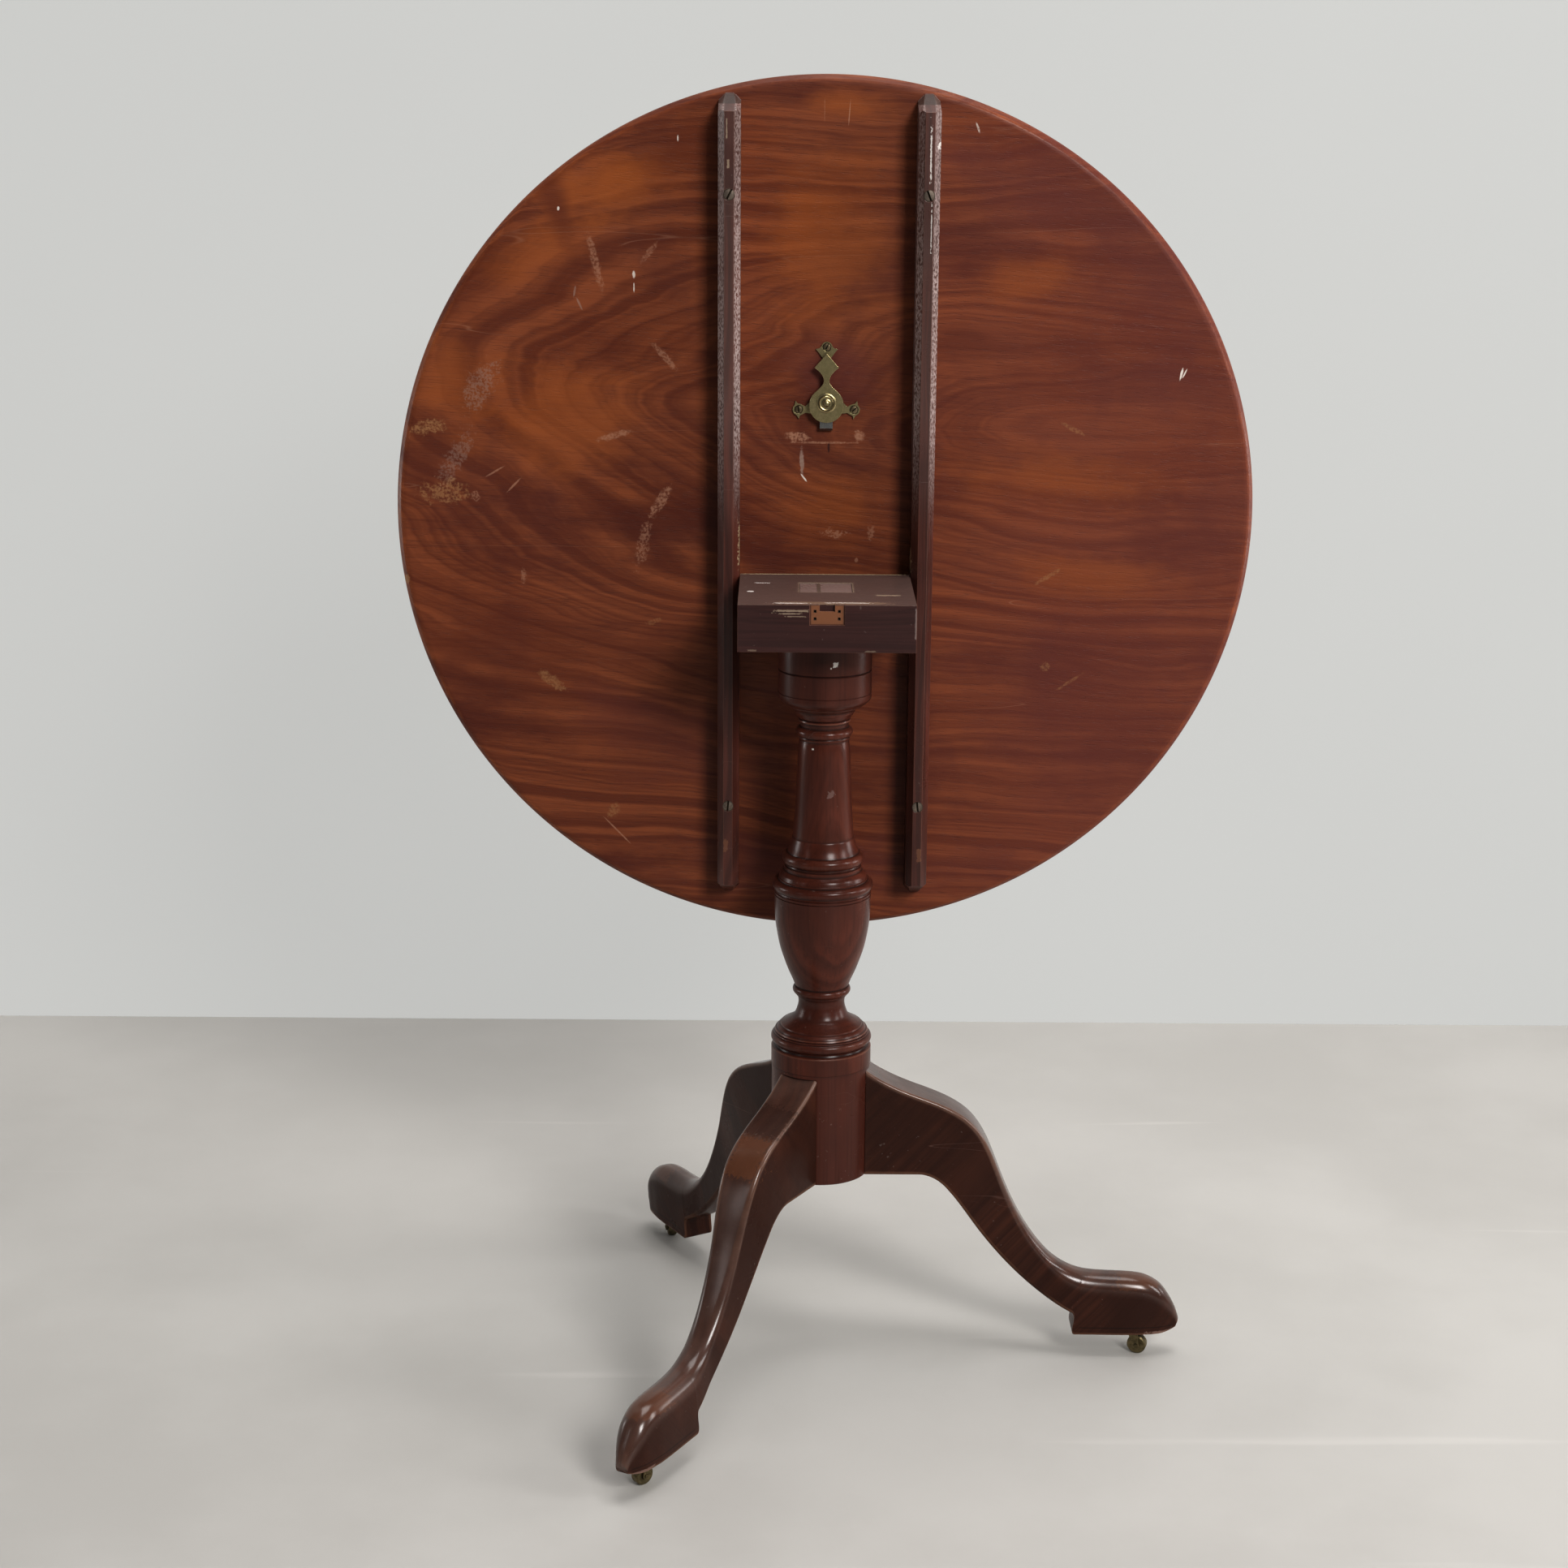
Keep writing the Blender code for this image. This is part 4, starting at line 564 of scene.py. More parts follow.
BEARER_PATCHES = (
    ((0.0848, 0.0462, 1.0640), (0.0007, 0.0020, 0.0200), 3.4, 0.75, CHALK),
    ((0.0862, 0.0462, 1.0050), (0.0005, 0.0020, 0.0180), 3.6, 0.60, CHALK),
    ((0.0925, 0.0500, 1.0720), (0.0020, 0.0050, 0.0030), 2.4, 0.70, CHALK),
    ((-0.0860, 0.0462, 1.0850), (0.0006, 0.0020, 0.0100), 2.2, 0.60, GLUE),
    ((-0.0848, 0.0462, 1.0560), (0.0010, 0.0020, 0.0040), 2.2, 0.60, GLUE),
    ((-0.0745, 0.0640, 0.7330), (0.0015, 0.0120, 0.0180), 2.8, 0.55, WAX),
    ((0.0745, 0.0640, 0.7200), (0.0015, 0.0100, 0.0100), 1.8, 0.90, WAX),
    ((0.0860, 0.0462, 0.4560), (0.0020, 0.0020, 0.0060), 2.4, 0.50, RAW_WOOD),
    ((-0.0860, 0.0462, 0.4640), (0.0020, 0.0020, 0.0060), 2.6, 0.50, RAW_WOOD),
    ((-0.084, 0.0600, 1.1100), (0.0120, 0.0200, 0.0055), 0.0, 0.75, NEAR_BLACK),
    ((0.084, 0.0600, 1.1100), (0.0120, 0.0200, 0.0055), 0.0, 0.75, NEAR_BLACK),
)


def patched(tree, place, colour, patches):
    """Lays each patch over a colour."""
    fray = sums(tree, "SUBTRACT", noise(tree, place, 320.0, 4.0, 0.7), 0.5)
    for centre, half, ragged, strength, tint in patches:
        feeds = {"Vector": place, "Centre": centre, "Half": half, "Ragged": ragged, "Fray": fray}
        mask = times(tree, use(tree, RAGGED_PATCH, feeds)["Mask"], strength)
        colour = blend(tree, mask, colour, tint)
    return colour


def upper_painted_sheen(tree, place, colour):
    """A painted sheen: the upper faces of a leg are made greyer where they face the overhead light, broken up
    by soft clouds.
    """
    upper = painted(tree, "upper").outputs["Fac"]
    cloud = ramp(tree, noise(tree, place, 24.0, 3.0), 0.25, 0.75, 0.35, 1.0)
    # painted sheen, strongest on the upper faces
    amount = times(tree, times(tree, upper, cloud), 0.24)
    return blend(tree, amount, colour, WEAR_AND_SHEEN_BROWN)


def bearer_painted_sheen(tree, place, colour):
    """A painted sheen: the reflection on the chamfers, greyer and speckled, and a fainter one on the front
    face, which fades towards the foot of each bearer.
    """
    x, _, z = apart(tree, place)
    from_middle = sums(tree, "SUBTRACT", sums(tree, "ABSOLUTE", x), BEARER_OUT)
    chamfer = ramp(tree, sums(tree, "ABSOLUTE", from_middle), 0.0036, 0.0052)
    height = times(tree, ramp(tree, z, 0.73, 0.86), ramp(tree, z, 1.08, 0.94, 0.60, 1.0))
    speckle = ramp(tree, noise(tree, stretched(tree, place, (1.0, 1.0, 0.5)), 750.0, 2.0), 0.35, 0.62)
    amount = times(tree, times(tree, chamfer, height), speckle)
    # painted sheen on the front face, weaker than on the chamfers
    face = times(tree, height, 0.15)
    colour = blend(tree, face, colour, DUST_AND_SHEEN_GREY)
    # painted reflection on the chamfers
    return blend(tree, times(tree, amount, 0.85), colour, PAINTED_SHEEN_SILVER)


counts = [len(patches) for patches in (BLOCK_PATCHES, PILLAR_PATCHES, LEG_PATCHES, BEARER_PATCHES)]
print("marks for the block, pillar, legs and bearers:", counts)

# %% [markdown]
# The pillar, legs, block and bearers are the same timber under an old, dark coat. The grooves are painted
# darker and the arrises have rubbed through to a lighter brown, and the legs' upper faces and the bearers'
# chamfers carry a painted sheen. A coat over a rougher base gives the long soft streaks of light on the
# turning. One function makes all four finishes, because only their browns, grain, gloss and painted sheens
# differ.


# %% Dark mahogany
FIBRE_DEPTH = 0.45
GROOVE_DARK = (0.0167, 0.0096, 0.0083, 1.0)
SCRATCHED = (0.276, 0.171, 0.139, 1.0)
SPECKS = (0.528, 0.461, 0.412, 1.0)
WORN_ARRIS = (0.242, 0.112, 0.0731, 1.0)


def dark_mahogany(name, light, dark, grain_turn, **looks):
    """Dark polished wood: light and dark are its two browns, and grain_turn lays local X along its
    grain."""
    made, tree, shader = new_finish(
        name,
        Specular_IOR_Level=looks.get("specular", 0.10),
        Coat_Weight=looks.get("coat", 0.22),
        Coat_Roughness=looks.get("coat_roughness", 0.14),
    )
    own = looks.get("own_place", False)
    place = painted(tree, "own_place").outputs["Vector"] if own else object_place(tree)
    along = stretched(tree, place, (1.0, 1.0, 1.0), grain_turn)
    feeds = {"Vector": along, "Pith": looks.get("pith", (0.0, 0.03, 0.02)), "Lean": 0.08}
    feeds |= {"Ring Width": 0.009, "Warp": 0.04}
    wood = use(tree, WOOD_FIGURE, feeds)
    colour = blend(tree, wood["Rings"], dark, light)
    patch = noise(tree, place, 11.0, 3.0)
    colour = blend(tree, ramp(tree, patch, 0.40, 0.72), colour, dark)
    line = times(tree, ramp(tree, wood["Fibres"], 0.52, 0.34), looks.get("fibre_shade", 0.3))
    fibre_dark = tuple(part * FIBRE_DEPTH for part in dark[:3]) + (1.0,)
    colour = blend(tree, line, colour, fibre_dark)
    edge = painted(tree, "edge").outputs["Fac"]
    feeds = {"Vector": place, "Edge": edge, "Amount": looks.get("rub", 0.7)}
    rub = use(tree, EDGE_RUB, feeds)["Mask"]
    colour = blend(tree, rub, colour, looks.get("rubbed", WORN_ARRIS))
    groove = painted(tree, "groove").outputs["Fac"]
    # the grooves are painted darker
    colour = blend(tree, times(tree, groove, 0.8), colour, GROOVE_DARK)
    scratches = use(tree, FINE_SCRATCHES, {"Vector": place, "Scale": 70.0, "Spread": 0.7})["Mask"]
    colour = blend(tree, times(tree, scratches, 0.4), colour, SCRATCHED)
    dust = ramp(tree, noise(tree, place, 240.0, 2.0), 0.70, 0.78)
    if "sheen" in looks:
        colour = looks["sheen"](tree, place, colour)
    if "coat_over" in looks:
        lasting = ramp(tree, painted(tree, looks["coat_over"]).outputs["Fac"], 0.0, 0.6, 0.20, looks["coat"])
        link(tree, lasting, shader, "Coat Weight")
    colour = patched(tree, place, colour, looks.get("patches", ()))
    dust = times(tree, dust, looks.get("specks", 0.12))
    colour = blend(tree, dust, colour, SPECKS)
    link(tree, colour, shader, "Base Color")
    cloudy = noise(tree, place, 17.0, 4.0)
    low, high = looks.get("roughness", (0.26, 0.44))
    roughness = ramp(tree, cloudy, 0.30, 0.70, low, high)
    roughness = sums(tree, "MULTIPLY_ADD", groove, 0.3, roughness)
    link(tree, sums(tree, "MULTIPLY_ADD", scratches, 0.2, roughness), shader, "Roughness")
    normal = bumped(tree, wood["Fibres"], looks.get("fibre_bump", 0.00010))
    waves = noise(tree, place, 28.0, 3.0)
    normal = bumped(tree, waves, looks.get("wave_bump", 0.0006), normal)
    normal = bumped(tree, times(tree, scratches, -1.0), 0.00010, normal)
    link(tree, normal, shader, "Normal")
    return made


ALONG_Z = (0.0, math.radians(90), 0.0)
ALONG_X = (0.0, 0.0, 0.0)
DOWN_LEG = (0.0, math.radians(48), 0.0)
REDDISH = (0.128, 0.0345, 0.0195, 1.0)
BLACKISH = (0.0740, 0.0205, 0.0125, 1.0)
PILLAR_WOOD = dark_mahogany(
    "pillar_mahogany",
    REDDISH,
    BLACKISH,
    ALONG_Z,
    patches=PILLAR_PATCHES,
    coat=0.4,
    coat_roughness=0.24,
    rub=0.5,
)
LEG_WOOD = dark_mahogany(
    "leg_mahogany",
    (0.072, 0.0250, 0.0145, 1.0),
    (0.040, 0.0145, 0.0092, 1.0),
    DOWN_LEG,
    own_place=True,
    rub=0.42,
    rubbed=(0.230, 0.120, 0.075, 1.0),
    sheen=upper_painted_sheen,
    patches=LEG_PATCHES,
    coat=0.9,
    coat_over="upper",
    coat_roughness=0.20,
    specular=0.06,
    fibre_shade=0.15,
)
BEARER_WOOD = dark_mahogany(
    "bearer_mahogany",
    (0.122, 0.0350, 0.0230, 1.0),
    (0.057, 0.0180, 0.0130, 1.0),
    ALONG_Z,
    coat=0.0,
    specular=0.5,
    rub=0.35,
    sheen=bearer_painted_sheen,
    patches=BEARER_PATCHES,
)
BLOCK_WOOD = dark_mahogany(
    "block_mahogany",
    (0.070, 0.0270, 0.0240, 1.0),
    (0.047, 0.0190, 0.0175, 1.0),
    ALONG_X,
    coat=0.1,
    specular=0.25,
    roughness=(0.40, 0.55),
    patches=BLOCK_PATCHES,
)
print("made the dark woods:", PILLAR_WOOD.name, LEG_WOOD.name, BEARER_WOOD.name, BLOCK_WOOD.name)

# %% [markdown]
# The brass of the catch and castors has gone olive, with brighter metal on the edges: partly where fingers
# rub it, partly a painted highlight along the bevels. The bolt, screws and the plate underneath are iron,
# grey where it has been handled, and their slots and hollows are painted dark as shade.


# %% Metals
def aged_metal(name, clean, tarnish, roughness, grime=0.5, rub_and_highlight=0.5):
    """Two metal colours mixed by noise, brighter on painted edges, where both rubbed metal and a painted
    highlight on the bevels show, and painted dark in grooves and slots as shade.
    """
    made, tree, shader = new_finish(name, Metallic=1.0)
    place = object_place(tree)
    cloud = noise(tree, place, 160.0, 5.0, 0.65)
    colour = blend(tree, ramp(tree, cloud, 0.30, 0.70), clean, tarnish)
    edge = painted(tree, "edge").outputs["Fac"]
    rub = use(tree, EDGE_RUB, {"Vector": place, "Edge": edge, "Amount": rub_and_highlight})["Mask"]
    # brighter edges: partly rubbed metal, partly a painted highlight along the bevels
    rubbed_and_lit_edge = tuple(min(1.0, part * 1.9) for part in clean[:3]) + (1.0,)
    colour = blend(tree, rub, colour, rubbed_and_lit_edge)
    spots = ramp(tree, noise(tree, place, 700.0, 3.0), 0.58, 0.72)
    colour = blend(tree, times(tree, spots, grime), colour, (0.0605, 0.0472, 0.0291, 1.0))
    # grooves and screw slots painted dark: painted shade
    groove = painted(tree, "groove").outputs["Fac"]
    colour = blend(tree, groove, colour, (0.0437, 0.0329, 0.0210, 1.0))
    link(tree, colour, shader, "Base Color")
    low, high = roughness
    mixed = ramp(tree, cloud, 0.30, 0.75, low, high)
    mixed = sums(tree, "MULTIPLY_ADD", rub, -0.12, mixed)
    link(tree, sums(tree, "MULTIPLY_ADD", spots, 0.15, mixed), shader, "Roughness")
    normal = bumped(tree, cloud, 0.00008)
    normal = bumped(tree, noise(tree, place, 1500.0, 2.0), 0.00003, normal)
    link(tree, normal, shader, "Normal")
    return made


BRASS = aged_metal("aged_brass", (0.500, 0.422, 0.242, 1.0), (0.276, 0.237, 0.126, 1.0), (0.30, 0.46))
CASTOR_BRASS = aged_metal(
    "castor_brass", (0.262, 0.212, 0.118, 1.0), (0.118, 0.096, 0.054, 1.0), (0.36, 0.58), 0.7
)
BOLT_IRON = aged_metal("bolt_iron", (0.380, 0.380, 0.375, 1.0), (0.235, 0.240, 0.240, 1.0), (0.24, 0.40), 0.3)
SCREW_IRON = aged_metal(
    "screw_iron", (0.320, 0.265, 0.220, 1.0), (0.150, 0.120, 0.098, 1.0), (0.36, 0.55), 0.5
)
CATCH_SCREW = aged_metal(
    "catch_screw", (0.300, 0.235, 0.150, 1.0), (0.120, 0.095, 0.060, 1.0), (0.34, 0.50), 0.5
)
PLATE_IRON = aged_metal(
    "plate_iron", (0.196, 0.171, 0.158, 1.0), (0.119, 0.0837, 0.0684, 1.0), (0.50, 0.72), 0.6
)
print("made the metals:", BRASS.name, CASTOR_BRASS.name, BOLT_IRON.name, SCREW_IRON.name, PLATE_IRON.name)

# %% [markdown]
# A surface is a grid of points: rows along the piece and columns round it. One helper turns any such grid
# into a closed mesh, with a fan over each end, and another paints a value on the points for the materials
# to read.


# %% Surface helpers
def closed_surface(name, rows):
    """A mesh from points[row, column, xyz]: columns wrap round, and each end is closed to its middle
    point."""
    count, around = rows.shape[:2]
    middles = np.stack([rows[0].mean(axis=0), rows[-1].mean(axis=0)])
    points = np.vstack([rows.reshape(-1, 3), middles])
    row, column = np.meshgrid(np.arange(count - 1), np.arange(around), indexing="ij")
    after = (column + 1) % around
    here, above = row * around, (row + 1) * around
    corners = [here + column, here + after, above + after, above + column]
    quads = np.stack(corners, axis=-1).reshape(-1, 4)
    ring = np.arange(around)
    onward = (ring + 1) % around
    last = (count - 1) * around
    first_fan = np.stack([onward, ring, np.full(around, count * around)], axis=1)
    last_fan = np.stack([last + ring, last + onward, np.full(around, count * around + 1)], axis=1)
    mesh = bpy.data.meshes.new(name)
    mesh.from_pydata(points.tolist(), [], quads.tolist() + first_fan.tolist() + last_fan.tolist())
    made = bpy.data.objects.new(name, mesh)
    bpy.context.scene.collection.objects.link(made)
    bm = bmesh.new()
    bm.from_mesh(mesh)
    bmesh.ops.recalc_face_normals(bm, faces=bm.faces)
    bm.to_mesh(mesh)
    bm.free()
    return made


def paint(piece, name, values):
    """Stores a number, or a place, for each point of the grid: the two end middles take their ring's
    mean."""
    values = np.asarray(values, np.float32)
    flat = values.reshape(-1, *values.shape[2:])
    ends = np.stack([values[0].mean(axis=0), values[-1].mean(axis=0)])
    whole = np.concatenate([flat, ends])
    kind, field = ("FLOAT", "value") if whole.ndim == 1 else ("FLOAT_VECTOR", "vector")
    stored = piece.data.attributes.new(name, kind, "POINT")
    stored.data.foreach_set(field, whole.ravel())


def dress(piece, finish, body, stands_for=(), smooth=35.0):
    """Gives a piece its material, smooth shading and its body, and hides the CAD nodes that it stands for."""
    piece.data.materials.clear()
    piece.data.materials.append(finish)
    piece.data.shade_smooth()
    piece.data.set_sharp_from_angle(angle=math.radians(smooth))
    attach(piece, body)
    if stands_for:
        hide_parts(*stands_for)
    return piece


print("surface helpers ready")

# %% [markdown]
# The pillar was turned on a lathe, so it is a profile carried round an axis. Beads are arcs and the long
# curves between them are smooth lines through a few radii. Three flats at the foot take the legs, and the
# square tenon that joins the block is the same surface with a square rule for its radius.

# %% Pillar profile
COLLAR = 0.0403
DRUM = 0.0441
FLAT = 0.0396
FOOT = 0.178
TENON_HALF = 0.022
LEG_ANGLES = {"right": 0.0, "back": 120.0, "front": 240.0}
_, block_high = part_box("block")
BLOCK_BOTTOM = -0.0003 + 0.666
ROOT_TOP = 0.2763


def bead(centre, radius, first, last, steps=12):
    """An arc of the profile, between two angles from straight outwards."""
    turn = np.radians(np.linspace(first, last, steps))
    return np.stack([centre[0] + radius * np.cos(turn), centre[1] + radius * np.sin(turn)], axis=1)


def flowing(points, steps=10):
    """A smooth line through points: each stretch is a cubic whose end slopes come from its neighbours."""
    points = np.array(points, float)
    padded = np.vstack([2 * points[0] - points[1], points, 2 * points[-1] - points[-2]])
    slope = (padded[2:] - padded[:-2]) / 2
    t = np.linspace(0, 1, steps, endpoint=False)[None, :, None]
    a, b, m, n = points[:-1, None], points[1:, None], slope[:-1, None], slope[1:, None]
    line = (2 * t**3 - 3 * t**2 + 1) * a + (t**3 - 2 * t**2 + t) * m
    line = line + (3 * t**2 - 2 * t**3) * b + (t**3 - t**2) * n
    return np.vstack([line.reshape(-1, 2), points[-1]])


def groove(radius, height, depth=0.0007, half=0.0006):
    """A fine cut line round the turning."""
    return [(radius, height + half), (radius - depth, height), (radius, height - half)]


def pillar_profile():
    """(radius, height) from the shoulder under the block down to the foot."""
    runs = [
        [(COLLAR - 0.0006, BLOCK_BOTTOM), (COLLAR, BLOCK_BOTTOM - 0.0006)],
        groove(COLLAR, 0.6360, 0.0010, 0.0010),
        groove(COLLAR, 0.6162, 0.0004, 0.0004),
        [(COLLAR, 0.6125)],
        flowing([(COLLAR - 0.0002, 0.6112), (COLLAR - 0.0013, 0.6094), (COLLAR - 0.0040, 0.6068)], 5),
        [(COLLAR - 0.0072, 0.6050), (COLLAR - 0.0078, 0.6040)],
        flowing([(COLLAR - 0.0088, 0.6039), (COLLAR - 0.0113, 0.6029), (0.0265, 0.6005)], 5),
        flowing([(0.0262, 0.5985), (0.0250, 0.5968), (0.0232, 0.5940), (0.0216, 0.5925)], 5),
        [(0.0224, 0.5920), (0.0226, 0.5910), (0.0222, 0.5901), (0.0211, 0.5895), (0.0209, 0.5860)],
        bead((0.0205, 0.5810), 0.0042, 70, -70),
        [(0.0222, 0.5765), (0.0222, 0.5752)],
        flowing(
            [(0.0214, 0.5740), (0.0225, 0.5640), (0.0238, 0.5350), (0.0250, 0.5080), (0.0266, 0.4870)],
            8,
        ),
        flowing([(0.0272, 0.4862), (0.0290, 0.4790), (0.0310, 0.4740)], 6),
        [(0.0313, 0.4732)],
        bead((0.0300, 0.4680), 0.0055, 60, -60),
        [(0.0330, 0.4622), (0.0326, 0.4612), (0.0336, 0.4605), (0.0338, 0.4575)],
        flowing([(0.0350, 0.4566), (0.0372, 0.4540), (0.0383, 0.4506)], 5),
        [(0.0389, 0.4500), (0.0391, 0.4486)],
        bead((0.0395, 0.4440), 0.0045, 80, -50),
        [(0.0420, 0.4396)],
        groove(0.0423, 0.4378, 0.0006, 0.0005),
        groove(0.0423, 0.4350, 0.0006, 0.0005),
        flowing(
            [
                (0.0422, 0.4330),
                (0.0419, 0.4200),
                (0.0411, 0.4090),
                (0.0392, 0.3970),
                (0.0369, 0.3865),
                (0.0337, 0.3765),
                (0.0298, 0.3660),
                (0.0256, 0.3565),
                (0.0240, 0.3522),
            ],
            7,
        ),
        [(0.0236, 0.3512)],
        bead((0.0215, 0.3473), 0.0040, 60, -60),
        [(0.0228, 0.3434), (0.0226, 0.3424)],
        flowing(
            [
                (0.0216, 0.3418),
                (0.0206, 0.3390),
                (0.0203, 0.3350),
                (0.0213, 0.3300),
                (0.0240, 0.3235),
                (0.0290, 0.3195),
                (0.0350, 0.3160),
            ],
            7,
        ),
        [(0.0358, 0.3158), (0.0362, 0.3146)],
        flowing([(0.0362, 0.3146), (0.0384, 0.3132), (0.0396, 0.3112)], 4),
        [(0.0406, 0.3110), (0.0412, 0.3098), (0.0408, 0.3090), (0.0418, 0.3084), (0.0420, 0.3078)],
        bead((DRUM - 0.0041, 0.3035), 0.0044, 70, -80),
        [(DRUM - 0.0026, 0.2990), (DRUM - 0.0032, 0.2978), (DRUM - 0.0026, 0.2965)],
        [(DRUM - 0.0006, 0.2955), (DRUM, 0.2949), (DRUM, 0.2800), (DRUM - 0.0005, 0.2795)],
    ]
    return np.vstack([np.array(run, float) for run in runs])


def evened(line, longest=0.0012):
    """The same line with points added along its long straight stretches, so that paint fades close to an
    arris."""
    length = np.hypot(*np.diff(line, axis=0).T)
    stretches = [
        start + (finish - start) * np.linspace(0, 1, 1 + int(span / longest), endpoint=False)[:, None]
        for start, finish, span in zip(line, line[1:], length)
    ]
    return np.vstack([*stretches, line[-1:]])


def turn_of(profile, reach=0.0011):
    """How much a profile turns near each point, in radians: plus on an arris and minus in a groove."""
    step = np.diff(profile, axis=0)
    heading = np.unwrap(np.arctan2(step[:, 1], step[:, 0]))
    turn = np.zeros(len(profile))
    turn[1:-1] = -np.diff(heading)
    along = np.concatenate([[0], np.cumsum(np.hypot(*step.T))])
    near = np.exp(-(((along[:, None] - along[None]) / reach) ** 2))
    return near @ turn


profile = evened(pillar_profile())
print("pillar profile:", len(profile), "points, widest", round(profile[:, 0].max() * 1000, 1), "mm")

# %% [markdown]
# A lathe leaves a perfect round, so the pillar is the profile repeated in columns about its axis. Two
# places aren't round: the tenon is square, and below the legs' tops three flats are planed for the legs.
# The turning's arrises and grooves are found from how sharply the profile bends, and painted on the
# points for the worn arrises and the darker grooves.

# %% Pillar
PILLAR_COLUMNS = 160


def make_pillar():
    """Radius = the profile's, or the flats' distance over the cosine of the angle from a leg where that
    is less."""
    tenon_top = block_high.z - 0.0006
    tenon = np.array([(TENON_HALF, tenon_top), (TENON_HALF, 0.660)])
    foot = [(DRUM - 0.0005, ROOT_TOP + 0.0001), (DRUM - 0.0005, ROOT_TOP), (DRUM - 0.0005, FOOT + 0.0008)]
    foot = np.array(foot + [(DRUM - 0.0013, FOOT)])
    line = np.vstack([tenon, profile, foot])
    angle = np.linspace(0, 2 * np.pi, PILLAR_COLUMNS, endpoint=False)
    radius = np.repeat(line[:, :1], PILLAR_COLUMNS, axis=1)
    square = TENON_HALF / np.maximum(np.abs(np.cos(angle)), np.abs(np.sin(angle)))
    radius[: len(tenon)] = square
    for leg in LEG_ANGLES.values():
        off = np.abs((angle - math.radians(leg) + np.pi) % (2 * np.pi) - np.pi)
        flat = np.where(off < 1.0, FLAT / np.cos(np.minimum(off, 1.0)), 1.0)
        radius[-3:] = np.minimum(radius[-3:], flat)
    height = np.repeat(line[:, 1:], PILLAR_COLUMNS, axis=1)
    rows = np.stack([radius * np.cos(angle), radius * np.sin(angle), height], axis=-1)
    piece = closed_surface("turned_pillar", rows)
    turn = turn_of(line)
    turn[: len(tenon) + 1] = 0
    turn[-4:] = 0
    columns = np.ones((1, PILLAR_COLUMNS))
    paint(piece, "edge", np.clip(turn / 1.3, 0, 1)[:, None] * columns)
    paint(piece, "groove", np.clip(-turn / 0.9, 0, 1)[:, None] * columns)
    return dress(piece, PILLAR_WOOD, "base", ["pillar"], 28)


pillar = make_pillar()
print(pillar.name, "has", len(pillar.data.polygons), "faces")

# %% [markdown]
# A leg is a loft: an upper and a lower line drawn from the side, with a rounded section standing between
# them at each station. The corners are tight at the knee, where the arrises catch the light, and open out
# to a full round at the ankle and the slipper foot. Each leg keeps its own upright coordinates so that
# its grain follows it.

# %% Leg lines
SOLE = 0.022
ROOT_OUT = FLAT + 0.0003
HEEL = 0.233
TOE = 0.3281
# upper (out, height, slope), lower (out, height, slope), width, upper corner, lower corner, crown of
# the upper face
LEG_SECTIONS = (
    ((ROOT_OUT, 0.2760, -37), (ROOT_OUT, 0.1780, 0), 0.0365, 0.0022, 0.0015, 0.0000),
    ((0.0880, 0.2515, -20), (0.0880, 0.1780, 0), 0.0365, 0.0022, 0.0015, 0.0002),
    ((0.1390, 0.2215, -52), (0.1120, 0.1660, -48), 0.0355, 0.0030, 0.0020, 0.0006),
    ((0.1650, 0.1660, -68), (0.1470, 0.1180, -53), 0.0280, 0.0048, 0.0030, 0.0012),
    ((0.2050, 0.0985, -47), (0.2050, 0.0575, -38), 0.0240, 0.0085, 0.0055, 0.0014),
    ((0.2380, 0.0788, -13), (0.2295, 0.0430, -25), 0.0300, 0.0120, 0.0020, 0.0010),
    ((0.2420, 0.0780, -9), (HEEL, SOLE, 0), 0.0300, 0.0120, 0.0012, 0.0010),
    ((0.2900, 0.0745, -8), (0.2850, SOLE, 0), 0.0315, 0.0130, 0.0012, 0.0010),
    ((0.3140, 0.0615, -52), (0.3080, SOLE, 0), 0.0260, 0.0120, 0.0012, 0.0008),
    ((TOE, 0.0340, -76), (TOE - 0.003, SOLE + 0.004, 30), 0.0100, 0.0040, 0.0012, 0.0000),
)
STATIONS = 14
CORNER_POINTS = 9
SIDE_FRACTIONS = (0.04, 0.12, 0.28, 0.5, 0.72, 0.88, 0.96)


def side_line(knots):
    """Cubic curves through knots of (out, height, slope), with handles a third of each chord along the
    slopes."""
    knots = np.array(knots, float)
    place, angle = knots[:, :2], np.radians(knots[:, 2])
    aim = np.stack([np.cos(angle), np.sin(angle)], axis=1)
    reach = np.linalg.norm(np.diff(place, axis=0), axis=1)[:, None] / 3
    start, finish = place[:-1, None], place[1:, None]
    lead, trail = start + (reach * aim[:-1])[:, None], finish - (reach * aim[1:])[:, None]
    t = np.linspace(0, 1, STATIONS, endpoint=False)[None, :, None]
    line = (1 - t) ** 3 * start + 3 * (1 - t) ** 2 * t * lead + 3 * (1 - t) * t**2 * trail + t**3 * finish
    return np.vstack([line.reshape(-1, 2), place[-1]])


def spread(values):
    """One value per station, eased by a moving mean so that widths and corners change without a kink."""
    knots = np.arange(len(values)) * STATIONS
    raw = np.interp(np.arange(knots[-1] + 1), knots, values)
    padded = np.pad(raw, 4, mode="edge")
    return np.convolve(padded, np.ones(9) / 9, mode="valid")


upper = side_line([section[0] for section in LEG_SECTIONS])
lower = side_line([section[1] for section in LEG_SECTIONS])
widths, upper_corners, lower_corners, crowns = (
    spread([section[i] for section in LEG_SECTIONS]) for i in (2, 3, 4, 5)
)
print("leg lines:", len(upper), "stations")


# %% [markdown]
# Each ring of a leg lies between one upper and one lower point. Its corners are arcs, and the points
# along its flat sides crowd towards the arrises, so that the paint for the worn edge fades within a
# millimetre. The three legs are the same shape turned about the pillar.


